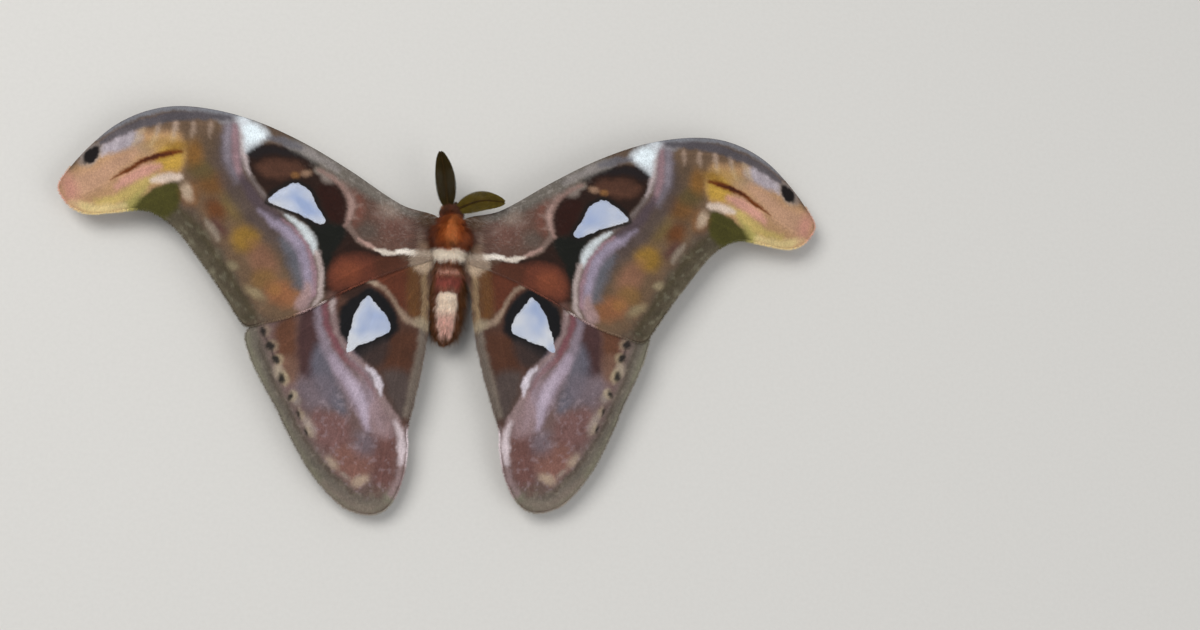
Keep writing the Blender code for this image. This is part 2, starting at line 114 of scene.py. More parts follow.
def sheet_faces(rows, columns, wrap=False):
    """Corner numbers of the four-sided faces of a grid; wrap joins its last column to its first."""
    here = np.arange(columns if wrap else columns - 1)
    base = np.arange(rows - 1)[:, None] * columns
    a = base + here
    b = base + (here + 1) % columns
    return np.stack([a, b, b + columns, a + columns], -1).reshape(-1, 4)


def tube_parts(grid, poles=None):
    """Points and faces of a tube from its rings, closed by poles: the end rings' middles, if not given."""
    rows, sides = grid.shape[0], grid.shape[1] - 1
    here = np.arange(sides)
    then = (here + 1) % sides
    last = (rows - 1) * sides
    poles = [grid[0].mean(0), grid[-1].mean(0)] if poles is None else poles
    points = np.vstack([grid[:, :-1].reshape(-1, 3), *poles])
    low = np.column_stack([np.full(sides, rows * sides), then, here])
    high = np.column_stack([np.full(sides, rows * sides + 1), last + here, last + then])
    return points, sheet_faces(rows, sides, wrap=True), low, high


def new_piece(name, points, *faces):
    """A smooth mesh object from an array of points and arrays of faces with three or four corners."""
    corners = np.concatenate([group.ravel() for group in faces])
    sizes = np.concatenate([np.full(len(group), group.shape[1]) for group in faces])
    mesh = bpy.data.meshes.new(name)
    mesh.vertices.add(len(points))
    mesh.vertices.foreach_set("co", np.asarray(points, np.float32).ravel())
    mesh.loops.add(len(corners))
    mesh.loops.foreach_set("vertex_index", corners.astype(np.int32))
    mesh.polygons.add(len(sizes))
    mesh.polygons.foreach_set("loop_start", (np.cumsum(sizes) - sizes).astype(np.int32))
    mesh.update(calc_edges=True)
    mesh.shade_smooth()
    piece = bpy.data.objects.new(name, mesh)
    bpy.context.scene.collection.objects.link(piece)
    return piece


def give_colours(piece, name, colours):
    """Stores one linear colour for each point of the piece."""
    layer = piece.data.attributes.new(name, "FLOAT_COLOR", "POINT")
    full = np.column_stack([np.clip(colours, 0, 1), np.ones(len(colours))])
    layer.data.foreach_set("color", full.astype(np.float32).ravel())


def part_reach(part, y, angle, axis):
    """Distance from the axis to an oval part of the body: where a ray meets that station's ellipse."""
    front, back = part["ends"]
    t = np.clip((front - y) / (front - back), 0, 1)
    round_off = (1 - np.abs(2 * t - 1) ** part["fullness"]) ** (1 / part["fullness"])
    wide, tall, middle = (
        (1 - t) * part[key][0] + t * part[key][1] for key in ("half_width", "half_height", "middle")
    )
    wide = np.maximum(wide * round_off, 1e-6)
    tall = np.maximum(tall * round_off, 1e-6)
    off = axis - middle
    a = (np.sin(angle) / wide) ** 2 + (np.cos(angle) / tall) ** 2
    b = np.cos(angle) * off / tall**2
    inner = b * b - a * ((off / tall) ** 2 - 1)
    reach = (np.sqrt(np.maximum(inner, 0)) - b) / a
    return np.where((inner > 0) & (reach > 0), reach, 0), t


def body_reach(y, angle, depth):
    """Distance from the axis to the skin: the three oval parts flow together, less the coat's depth."""
    axis = np.interp(y, AXIS_PLACES, AXIS_HEIGHTS)
    head, _ = part_reach(PARTS["head"], y, angle, axis)
    thorax, t = part_reach(PARTS["thorax"], y, angle, axis)
    side = np.minimum(angle, 2 * math.pi - angle)
    flap = 0.16 * bell(side, math.radians(48), 0.28) * bell(t, 0.50, 0.20)
    grooves = 0.07 * (bell(t, 0.20, 0.035) + bell(t, 0.80, 0.03))
    thorax = thorax * (1 + flap - grooves)
    abdomen, t = part_reach(PARTS["abdomen"], y, angle, axis)
    share = np.mod(t * SEGMENTS, 1.0)
    swell = np.minimum((share + 0.1) / 0.98, (1 - share) / 0.12) - 0.5
    abdomen = abdomen * (1 + 0.06 * swell * (t < 0.94))
    whole = (head**10 + thorax**10 + abdomen**10) ** 0.1
    return np.maximum(whole - depth * np.interp(y, COAT_PLACES, COAT_DEPTHS), 0.35 * whole), axis


def body_points(y, angle, depth=1.0):
    """Points of the body's skin: at each station and angle from the back, its reach out from the axis."""
    reach, axis = body_reach(y, angle, depth)
    return np.stack([reach * np.sin(angle), y + 0 * angle, axis + reach * np.cos(angle)], -1) + PLACE


def body_colours(y, angle):
    """Marking colours of skin and coat at each station and angle from the back, as linear values."""
    side = np.minimum(angle, 2 * math.pi - angle)
    arc = side * BODY_RADIUS
    spot = np.stack([arc * np.sign(np.sin(angle)), y], -1)
    wave, fine = drift(spot, 0.0011, 3), drift(spot, 0.0004, 4)
    y = y + 0.00030 * wave + 0.00012 * fine
    arc = arc + 0.00030 * wave
    colours = np.empty(y.shape + (3,))
    colours[:] = linear("#5c2a0f")
    # Thorax: orange fur in a wedge, brightest along the middle line, darker towards head and wing roots
    wedge = 0.0036 - 0.00020 * np.clip(y / 0.001, 0, 12)
    lay(colours, ease(arc, wedge + 0.0012, wedge - 0.0010), "#9c4a18")
    lay(colours, ease(arc, 0.66 * wedge, 0.0) * ease(y, 0.0112, 0.0068), "#d98244")
    lay(colours, bell(arc, 0.0056, 0.0014) * bell(y, 0.005, 0.006), "#4c1e0a")
    lay(colours, 0.35 * bell(y, 0.0094, 0.0010), "#44200b")
    lay(colours, 0.85 * ease(y, 0.0106, 0.0120), "#3d1d07")
    lay(colours, 0.7 * ease(y, 0.0128, 0.0138) * ease(arc, 0.0020, 0.0050), "#8a5630")
    lay(colours, 0.9 * bell(y, 0.0016, 0.0011), "#5f2b0a")
    lay(colours, ease(arc, 0.0063, 0.0073) * ease(y, 0.0095, 0.0070), "#7d6652")
    lay(colours, ease(arc, 0.0078, 0.0105) * ease(y, -0.001, 0.002), "#7a4526")
    # The white band, widest on the back, and the white tufts it sends down to the wings
    band = 0.0016 - 0.0003 * ease(arc, 0.0020, 0.0065)
    lay(colours, ease(np.abs(y + 0.0010), band + 0.0003, band - 0.0003), "#fff1dc")
    # Abdomen: maroon, then a pale stripe along the back that turns pink, and rings of paler fur
    tail = ease(y, -0.0027, -0.0032)
    lay(colours, tail, "#643c1a")
    lay(colours, tail * ease(arc, 0.0052, 0.0034), "#74402a")
    lay(colours, 0.8 * bell(y, -0.0037, 0.0008) * ease(arc, 0.0062, 0.0046), "#562a11")
    lay(colours, bell(y, -0.0054, 0.0006) * ease(arc, 0.0048, 0.0034), "#c4937d")
    lay(colours, bell(y, -0.0086, 0.0023) * ease(arc, 0.0052, 0.0034), "#8a4236")
    stripe_side = 0.0022 + 0.0013 * ease(y, -0.0104, -0.0130) - 0.0008 * ease(y, -0.0180, -0.0235)
    stripe = ease(arc, stripe_side + 0.0008, stripe_side - 0.0008) * ease(y, -0.0104, -0.0122)
    lay(colours, stripe, "#f6e2cb")
    lay(colours, stripe * ease(y, -0.0150, -0.0190), "#d6a898")
    lay(colours, stripe * ease(y, -0.0222, -0.0244), "#6b4630")
    front, back = PARTS["abdomen"]["ends"]
    ring = ease(np.mod((front - y) / (front - back) * SEGMENTS, 1.0), 0.80, 0.97) * tail
    lay(colours, 0.35 * ring, "#8a6a50")
    lay(colours, 0.8 * ring * bell(arc, 0.0084, 0.0012), "#d8c8b0")
    lay(colours, tail * ease(arc, 0.0092, 0.0115), "#8a684c")
    lay(colours, 0.7 * ring * ease(arc, 0.0100, 0.0120), "#e0d2bc")
    return colours * (1 + 0.10 * fine[..., None])


def body_stations(count):
    """Stations along the body from the tail's tip to the face, closer together at both round ends."""
    share = (1 - np.cos(np.linspace(0.03, math.pi - 0.03, count))) / 2
    tail, face = PARTS["abdomen"]["ends"][1], PARTS["head"]["ends"][0]
    return tail + share * (face - tail)


def add(tree, kind, inputs=(), **settings):
    """Adds one node: settings are its properties, and each input takes a value or another node's socket."""
    node = tree.nodes.new("ShaderNode" + kind)
    for name, value in settings.items():
        setattr(node, name, value)
    for name, value in dict(inputs).items():
        if isinstance(value, bpy.types.NodeSocket):
            tree.links.new(value, node.inputs[name])
        else:
            node.inputs[name].default_value = value
    return node


def new_finish(name, **sockets):
    """A material, its tree and its Principled shader, whose sockets take the given constants."""
    finish = bpy.data.materials.new(name)
    finish.use_nodes = True
    shader = finish.node_tree.nodes["Principled BSDF"]
    for key, value in sockets.items():
        shader.inputs[key.replace("_", " ")].default_value = value
    return finish, finish.node_tree, shader


def speckled(name, scale, detail, tones, stops=(0.3, 0.7), relief=None, **sockets):
    """A finish whose base colour and relief follow noise: specks per metre, detail, and what the specks do.

    Two numbers as tones shade the piece's own markings; two hex colours are the colours of the specks. The
    relief is a strength and a depth in metres.
    """
    finish, tree, shader = new_finish(name, **sockets)
    places = add(tree, "TexCoord").outputs["Object"]
    specks = add(tree, "TexNoise", {"Vector": places, "Scale": scale, "Detail": detail}).outputs["Fac"]
    if isinstance(tones[0], str):
        ramp = add(tree, "ValToRGB", {"Fac": specks})
        for stop, place, code in zip(ramp.color_ramp.elements, stops, tones):
            stop.position = place
            stop.color = (*linear(code), 1)
        colour = ramp.outputs["Color"]
    else:
        marks = add(tree, "Attribute", attribute_name="markings").outputs["Color"]
        shade = add(tree, "MapRange", {"Value": specks, 1: stops[0], 2: stops[1], 3: tones[0], 4: tones[1]})
        toned = add(tree, "VectorMath", {0: marks, "Scale": shade.outputs[0]}, operation="SCALE")
        colour = toned.outputs[0]
    tree.links.new(colour, shader.inputs["Base Color"])
    if relief:
        bump = add(tree, "Bump", {"Height": specks, "Strength": relief[0], "Distance": relief[1]})
        tree.links.new(bump.outputs[0], shader.inputs["Normal"])
    return finish, tree, shader


y_grid, angle_grid = np.meshgrid(
    body_stations(BODY_STATIONS), np.linspace(0, 2 * math.pi, BODY_SIDES + 1), indexing="ij"
)
skin_grid = body_points(y_grid, angle_grid)
skin = new_piece("body_skin", *tube_parts(skin_grid))
skin_colours = body_colours(y_grid, angle_grid)
# Painted shade: the skin's markings are darkened, most where they are dark, for the coat's shade over it
skin_colours *= 0.5 + 0.5 * skin_colours
give_colours(
    skin, "markings",
    np.vstack([skin_colours[:, :-1].reshape(-1, 3), skin_colours[0, :1], skin_colours[-1, :1]]),
)

# Chitin skin with the felt of down that grows under the long hairs: dull, and mottled hair by hair
felt = speckled("downy_chitin_skin", 4200.0, 3.0, (0.6, 1.25), relief=(0.6, 0.0002), Roughness=0.85,
                IOR=1.5)[0]
skin.data.materials.append(felt)
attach(skin, "root")
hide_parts("head", "thorax", "abdomen")


# The coat: hair-like scales, most of them 1 to 5 mm long, that grow from pits in the chitin and lie back
# towards the tail. Real ones are a few hundredths of a millimetre thick, so each tuft here stands for a few.

COAT_SEED = 41
HEAD_TUFTS = 9000
THORAX_TUFTS = 19500
LONG_TUFTS = 11000
ABDOMEN_TUFTS = 19500
FLANK_TUFTS = 4600
EYE_RADIUS = 0.0015
EYE_PLACE = np.array([0.0021, 0.0121, 0.0085])
EYE_CLEARING = 0.98 * EYE_RADIUS  # no hair is rooted nearer to an eye's middle
SIDES = (("left", -1), ("right", 1))
CROWN = (0.0104, 0.0122)  # where the lie turns from back to forward
LOCK_WIDTH = 0.0011
STAND_WIDTH = 0.0009  # of the clumps that stand higher or lower
TONE_WIDTH = 0.0007  # of the clumps that are darker or lighter
FLOOR_GAP = 0.00002
BAKE_PATCH = 0.0015  # half the width of a tuft's patch on the bake map


def unit(vectors):
    """Vectors scaled to length one."""
    return vectors / np.maximum(np.linalg.norm(vectors, axis=-1, keepdims=True), 1e-12)


def between(grid, row, column):
    """Values of a grid at decimal rows and columns, in straight lines between its corners."""
    i, j = row.astype(int), column.astype(int)
    f, g = (row - i)[:, None], (column - j)[:, None]
    grid = grid.reshape(grid.shape[:2] + (-1,))
    near = grid[i, j] * (1 - g) + grid[i, j + 1] * g
    return near * (1 - f) + (grid[i + 1, j] * (1 - g) + grid[i + 1, j + 1] * g) * f


def grid_normals(grid):
    """Unit normals of a grid surface, from its steps along rows and columns, pointing out of the piece."""
    return unit(np.cross(np.gradient(grid, axis=1), np.gradient(grid, axis=0)))


def scatter(grid, density, count, rng):
    """Decimal rows and columns of roots: random places in cells drawn by their area times density."""
    cell = np.cross(np.diff(grid, axis=0)[:, :-1], np.diff(grid, axis=1)[:-1])
    area = np.linalg.norm(cell, axis=2) * density[:-1, :-1]
    chosen = rng.choice(area.size, count, p=(area / area.sum()).ravel())
    row, column = np.divmod(chosen, area.shape[1])
    return row + rng.random(count), column + rng.random(count)


def tufts(name, roots, normals, lie, length, width, lift, colours, unwrap, tip_painted_light=1.3, root_painted_shade=0.5):
    """Solid tapered tufts in one mesh, each of ten triangles: two three-sided rings and a point.

    A tuft leaves the skin at its lift and bends down along its lie in its outer half. Its markings are
    darkened at the root by painted shade, as deep in a coat, and lightened at the tip by painted light, with
    less painted shade in pale hair. On the bake map it is a patch at its root's place on the unwrap.
    """
    count = len(roots)
    length, width, lift = (np.broadcast_to(value, count)[:, None] for value in (length, width, lift))
    lie = unit(lie - (lie * normals).sum(1, keepdims=True) * normals)
    first = lie * np.cos(lift) + normals * np.sin(lift)
    second = lie * np.cos(0.35 * lift) + normals * np.sin(0.35 * lift)
    base = roots - normals * 0.6 * width
    middle = base + first * length * 0.5
    tip = middle + second * length * 0.5
    side = unit(np.cross(normals, first))
    up = np.cross(first, side)
    corners = np.array([(-0.9, -0.15), (0.9, -0.15), (0.0, 0.3)])
    rings = [
        place[:, None] + size * 0.5 * width[:, None]
        * (side[:, None] * corners[:, :1] + up[:, None] * corners[:, 1:])
        for place, size in ((base, 1.0), (middle, 0.9))
    ]
    points = np.concatenate(rings + [tip[:, None]], axis=1)
    points[..., 2] = np.maximum(points[..., 2], FLOOR_GAP)
    start = np.arange(count)[:, None, None] * 7
    three = np.array([(2, 1, 0), (3, 4, 6), (4, 5, 6), (5, 3, 6)])
    four = np.array([(0, 1, 4, 3), (1, 2, 5, 4), (2, 0, 3, 5)])
    three = (start + three).reshape(-1, 3)
    four = (start + four).reshape(-1, 4)
    piece = new_piece(name, points.reshape(-1, 3), three, four)
    piece.data.shade_flat()
    # Painted shade at the root, weaker in pale hair, and painted light at the tip
    painted_root_darkening = root_painted_shade ** (1 - 0.9 * np.minimum(colours.max(1), 1))
    shades = np.column_stack([painted_root_darkening] * 3 + [np.ones(count)] * 3 + [np.full(count, tip_painted_light)])
    tones = colours[:, None] * shades[..., None]
    tones /= np.maximum(tones.max(-1, keepdims=True) / 0.9, 1.0)
    give_colours(piece, "markings", tones.reshape(-1, 3))
    ring_turns = np.arange(7) * (2 * math.pi / 6)
    patch = BAKE_PATCH * np.column_stack([np.cos(ring_turns), np.sin(ring_turns)])
    patch[6] = 0
    spots = (np.clip(unwrap, 0.002, 0.998)[:, None] + patch).reshape(-1, 2)
    corner_spots = spots[np.concatenate([three.ravel(), four.ravel()])]
    bake = piece.data.uv_layers.new(name="OFBake")
    bake.data.foreach_set("uv", corner_spots.astype(np.float32).ravel())
    return piece


# Hair of chitin with a fibre's satin: soft, broad and weak highlights, and tones that change along a hair
hair = speckled("moth_hair", 2600.0, 2.0, (0.8, 1.2), relief=(0.3, 0.0001), Roughness=0.6, IOR=1.5,
                Specular_IOR_Level=0.3)[0]

skin_normals = grid_normals(skin_grid)
eye_centres = [EYE_PLACE * (side, 1, 1) + PLACE for _, side in SIDES]
rng = np.random.default_rng(COAT_SEED)


def body_coat(name, count, y_from, y_to, length, width, lift, sides=(1.6, math.inf)):
    """One coat piece between two stations, with lengths, widths and lifts that vary from hair to hair.

    It grows all round, or only near the angle from the back that sides gives, as far as its reach.
    """
    inside = ease(y_grid, y_from - 0.0002, y_from) * (1 - ease(y_grid, y_to, y_to + 0.0002))
    inside = inside * bell(np.minimum(angle_grid, 2 * math.pi - angle_grid), *sides)
    for centre in eye_centres:
        inside = inside * (np.linalg.norm(skin_grid - centre, axis=2) > EYE_CLEARING)
    row, column = scatter(skin_grid, inside, count, rng)
    roots, normals = between(skin_grid, row, column), unit(between(skin_normals, row, column))
    y, angle = between(y_grid, row, column)[:, 0], between(angle_grid, row, column)[:, 0]
    from_back = np.minimum(angle, 2 * math.pi - angle)
    # Over the wing roots the hairs of the shoulders point outwards, and are longer
    shoulder = bell(from_back, 1.25, 0.35) * ease(y, -0.0010, 0.0030) * ease(y, 0.0106, 0.0094)
    spread = np.sin(angle) * (0.28 + 0.9 * shoulder)
    back = np.array([0.0, -1.0, -0.12]) + np.outer(spread, (1.0, 0, 0))
    forward = np.array([0.0, 0.75, -0.65]) + np.outer(np.sin(angle), (0.35, 0, 0))
    turn = ease(y, *CROWN)
    # Neighbours lean the same way in locks about a millimetre wide, and some locks stand higher than others
    spot = np.column_stack([angle * BODY_RADIUS, y])
    locks = np.column_stack([drift(spot, LOCK_WIDTH, seed) for seed in (51, 52, 53)])
    stand = drift(spot, STAND_WIDTH, 54)
    lie = back * (1 - turn)[:, None] + forward * turn[:, None] + 0.36 * locks
    lie = lie + rng.normal(0, 0.12, (count, 3))
    # The hairs above and behind each eye stand out round it like a lash
    lash = bell(y, 0.0122, 0.0016) * bell(from_back, 1.1, 0.45)
    lie = lie + np.outer(lash * np.sign(np.sin(angle)), (1.1, 0, 0.1))
    reach = length * rng.uniform(0.7, 1.25, count) * (1 - 0.35 * ease(y, 0.0126, 0.0140))
    reach = reach * (1 + 0.2 * stand)
    shade = rng.uniform(0.8, 1.25, (count, 1)) * (1 + 0.38 * drift(spot, TONE_WIDTH, 55))[:, None]
    flank = bell(from_back, 1.6, 0.5) * ease(y, 0.004, -0.004)
    reach = reach * (1 + 0.5 * flank + 0.15 * lash + 0.3 * shoulder)
    # The hair just before and over the white band is shorter, so that no long orange hair crosses it
    reach = reach * (1 - 0.5 * bell(y, 0.0012, 0.0030) * ease(from_back, 1.5, 0.9))
    marks = body_colours(y - 0.6 * reach * (1 - 2 * turn), angle)
    # On the crown the hair stands up in a crest
    crest = 1.1 * turn * (1 - turn) * 4 * bell(from_back, 0, 1.0)
    rise = lift * rng.uniform(0.6, 1.4, count) * (1 + 0.5 * stand + 0.9 * flank + crest)
    piece = tufts(
        name, roots, normals, lie, reach, width * rng.uniform(0.75, 1.3, count), rise,
        marks * shade ** (1 - 0.75 * marks.max(1, keepdims=True)),
        np.column_stack([angle / (2 * math.pi), row / BODY_STATIONS]),
    )
    piece.data.materials.append(hair)
    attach(piece, "root")


body_coat("head_coat", HEAD_TUFTS, 0.0092, 0.0146, 0.0016, 0.00008, math.radians(27))
body_coat("thorax_coat", THORAX_TUFTS, -0.0030, 0.0100, 0.0023, 0.00009, math.radians(17))
body_coat("thorax_long_hair", LONG_TUFTS, -0.0026, 0.0108, 0.0036, 0.00007, math.radians(24))
body_coat("abdomen_coat", ABDOMEN_TUFTS, -0.0248, -0.0024, 0.0017, 0.00009, math.radians(14))
body_coat("abdomen_flank_hair", FLANK_TUFTS, -0.0225, -0.0040, 0.0025, 0.00009, math.radians(30),
          (1.5, 0.5))


# The eyes: two compound eyes of clear hard cornea over dark cells, domes that fill the sides of the head.
# Their facets are 0.02 mm across in life, and are drawn 0.09 mm across so that they show.

EYE_RINGS = 40
EYE_SIDES = 64
EYE_HALF_SIZES = (0.00130, 0.00145, 0.00150)


def egg(centre, sizes, axis, rings, sides):
    """A closed ball stretched by three sizes: rings of points round an axis, with a pole at both ends."""
    polar = np.linspace(math.pi, 0, rings)[1:-1, None, None]
    turn = np.linspace(0, 2 * math.pi, sides + 1)[:, None]
    across = unit(np.cross(axis, (0.0, 0.0, 1.0)))
    upward = np.cross(axis, across)
    ball = (
        np.cos(polar) * sizes[0] * axis
        + np.sin(polar) * np.cos(turn) * sizes[1] * across
        + np.sin(polar) * np.sin(turn) * sizes[2] * upward
    )
    return tube_parts(centre + ball, [centre - axis * sizes[0], centre + axis * sizes[0]])


# Cornea over pigment cells: near-black brown with a deep gloss, broken up by the facets
cornea, tree, shader = speckled("compound_eye_cornea", 900.0, 2.0, ("#120a08", "#2e1a12"), (0.35, 0.70),
                                Roughness=0.3, IOR=1.5, Specular_IOR_Level=0.35)
places = add(tree, "TexCoord").outputs["Object"]
facets = add(tree, "TexVoronoi", {"Vector": places, "Scale": 11000.0, "Randomness": 0.35})
relief = add(tree, "Bump", {"Height": facets.outputs["Distance"], "Strength": 0.5, "Distance": 0.00003},
             invert=True)
tree.links.new(relief.outputs[0], shader.inputs["Normal"])
for side_name, side in SIDES:
    outward = unit(np.array([side * 0.93, 0.34, 0.12]))
    eye = new_piece(
        f"compound_eye_{side_name}",
        *egg(EYE_PLACE * (side, 1, 1) + PLACE, EYE_HALF_SIZES, outward, EYE_RINGS, EYE_SIDES),
    )
    eye.data.materials.append(cornea)
    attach(eye, "root")
    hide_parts(f"eye_{side_name}")


# The palps: two short feelers of three joints that curve up in front of the face, shaggy with hair.
# Each is a tapered tube along a bent line, with its own small coat.

PALP_ROOT = np.array([0.0008, 0.0128, 0.0074])
PALP_TIP = np.array([0.0012, 0.0153, 0.0080])
PALP_RADIUS = 0.00042
PALP_TUFTS = 700


def smooth_line(points, step, closed=False):
    """Points about one step apart on the smooth curve that runs through the given points."""
    knots = np.array(points, float)
    if closed:
        knots = np.vstack([knots[-1:], knots, knots[:2]])
    else:
        knots = np.vstack([2 * knots[0] - knots[1], knots, 2 * knots[-1] - knots[-2]])
    t = np.linspace(0, 1, 24, endpoint=False)[:, None]
    pieces = []
    for a, b, c, d in zip(knots, knots[1:], knots[2:], knots[3:]):
        bend = (2 * a - 5 * b + 4 * c - d) * t**2 + (3 * b - a - 3 * c + d) * t**3
        pieces.append(b + 0.5 * ((c - a) * t + bend))
    fine = np.vstack(pieces + [knots[-2:-1]])
    run = np.concatenate([[0], np.cumsum(np.linalg.norm(np.diff(fine, axis=0), axis=1))])
    even = np.linspace(0, run[-1], max(2, round(run[-1] / step)) + 1)
    line = np.column_stack([np.interp(even, run, fine[:, k]) for k in range(fine.shape[1])])
    return line[:-1] if closed else line


def tube_grid(line, radii, sides):
    """Rings round a line: at each point, a closed circle of that radius, square to the line."""
    along = unit(np.gradient(line, axis=0))
    guide = np.where(np.abs(along[:, 2:]) > 0.9, (0.0, 1.0, 0.0), (0.0, 0.0, 1.0))
    across = unit(np.cross(guide, along))
    upward = np.cross(along, across)
    turn = np.linspace(0, 2 * math.pi, sides + 1)
    ring = across[:, None] * np.cos(turn)[:, None] + upward[:, None] * np.sin(turn)[:, None]
    return line[:, None] + ring * np.asarray(radii)[:, None, None]


def joined(parts):
    """Points and faces of many parts as one: each part's corner numbers move on by the points before it."""
    starts = np.cumsum([0] + [len(part[0]) for part in parts[:-1]])
    points = np.vstack([part[0] for part in parts])
    moved = [start + group for start, part in zip(starts, parts) for group in part[1:]]
    return points, *(np.vstack([group for group in moved if group.shape[1] == sides]) for sides in (4, 3))


def limb_coat(name, grids, count, lengths, width, lift, codes):
    """A coat over tubes: hairs that lie towards each tube's end, unwrapped to one strip for each tube.

    Lengths and colours are two values each, for the tube's start and its end.
    """
    batches = []
    for index, grid in enumerate(grids):
        row, column = scatter(grid, np.ones(grid.shape[:2]), count, rng)
        normals = unit(between(grid_normals(grid), row, column))
        lie = unit(between(np.gradient(grid.mean(1), axis=0)[:, None] + 0 * grid, row, column))
        strip = (index + 0.5 + 0.8 * (column / grid.shape[1] - 0.5)) / len(grids)
        batches.append((between(grid, row, column), normals, lie + rng.normal(0, 0.14, (count, 3)),
                        np.column_stack([strip, row / grid.shape[0]]), row / grid.shape[0]))
    roots, normals, lie, unwrap, share = (np.concatenate(part) for part in zip(*batches))
    count = len(roots)
    reach = lengths[0] + share * (lengths[1] - lengths[0])
    first, last = (linear(code) for code in codes)
    colours = first + share[:, None] * (last - first)
    piece = tufts(
        name, roots, normals, lie, reach * rng.uniform(0.7, 1.3, count), width, lift,
        colours * rng.uniform(0.75, 1.25, (count, 1)), unwrap,
    )
    piece.data.materials.append(hair)
    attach(piece, "root")


# Chitin of the limbs: horn-like and satin, brown with darker joints
horn = speckled("limb_chitin", 1500.0, 4.0, ("#2c1408", "#5a2f16"), (0.35, 0.70), (0.3, 0.00005),
                Roughness=0.42, IOR=1.56)[0]
palp_grids = []
for side_name, side in SIDES:
    ends = [PALP_ROOT * (side, 1, 1), (PALP_ROOT + PALP_TIP) / 2 * (side, 1, 1) + (0, 0.0003, -0.0003),
            PALP_TIP * (side, 1, 1)]
    line = smooth_line(np.array(ends) + PLACE, 0.0001)
    share = np.linspace(0, 1, len(line))
    radii = PALP_RADIUS * (1 - 0.45 * share) * np.sqrt(np.clip((1.02 - share) * 12, 0, 1))
    grid = tube_grid(line, radii, 12)
    palp_grids.append(grid)
    palp = new_piece(f"palp_core_{side_name}", *tube_parts(grid))
    palp.data.materials.append(horn)
    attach(palp, "root")
    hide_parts(f"palp_{side_name}")
limb_coat("palp_coat", palp_grids, PALP_TUFTS, (0.0010, 0.0005), 0.00008, math.radians(38),
          ("#5e2f12", "#6e4526"))


# The antennae: a male's are broad feathers. A jointed shaft of chitin carries two pairs of rays on every
# joint, and each ray is edged with fine hairs that catch scent. They are drawn ray by ray, hairs and all.

ANTENNA_ROOT = np.array([0.0011, 0.0128, 0.0104])
ANTENNA_TIPS = {"left": (-0.0042, 0.0285, 0.0128), "right": (0.0142, 0.0150, 0.0142)}
ANTENNA_BOW = np.array([0.0, 0.0012, 0.0008])
ANTENNA_WIDTH = 0.0058
ANTENNA_JOINTS = 46
SHAFT_RADIUS = 0.00034
SHAFT_TAPER = 0.00022  # what the shaft's radius loses up to its tip
SHAFT_TONE = "#33240c"
RAY_LEANS = (math.radians(20), math.radians(8))  # towards the tip, of a joint's first and second pair
RAY_POINTS = 9
RAY_RADIUS = 0.00009
HAIRS_PER_RAY = 22
SCENT_HAIR_LENGTH = 0.00040
SCENT_HAIR_WIDTH = 0.00009
# The two feathers are the same chitin: the left one's darker tones are painted shade, the right one's
# lighter tones painted light
RAY_SHADED_AND_LIT_TONES = {"left": "#281c06", "right": "#544110"}
SCENT_HAIR_SHADED_AND_LIT_TONES = {"left": "#33280d", "right": "#54471a"}

# Olive-brown chitin of the feelers: dull and mottled, so that they read as one dark, soft feather each
feeler = speckled("feeler_chitin", 700.0, 3.0, (0.75, 1.25), Roughness=0.65, IOR=1.55,
                  Specular_IOR_Level=0.06)[0]

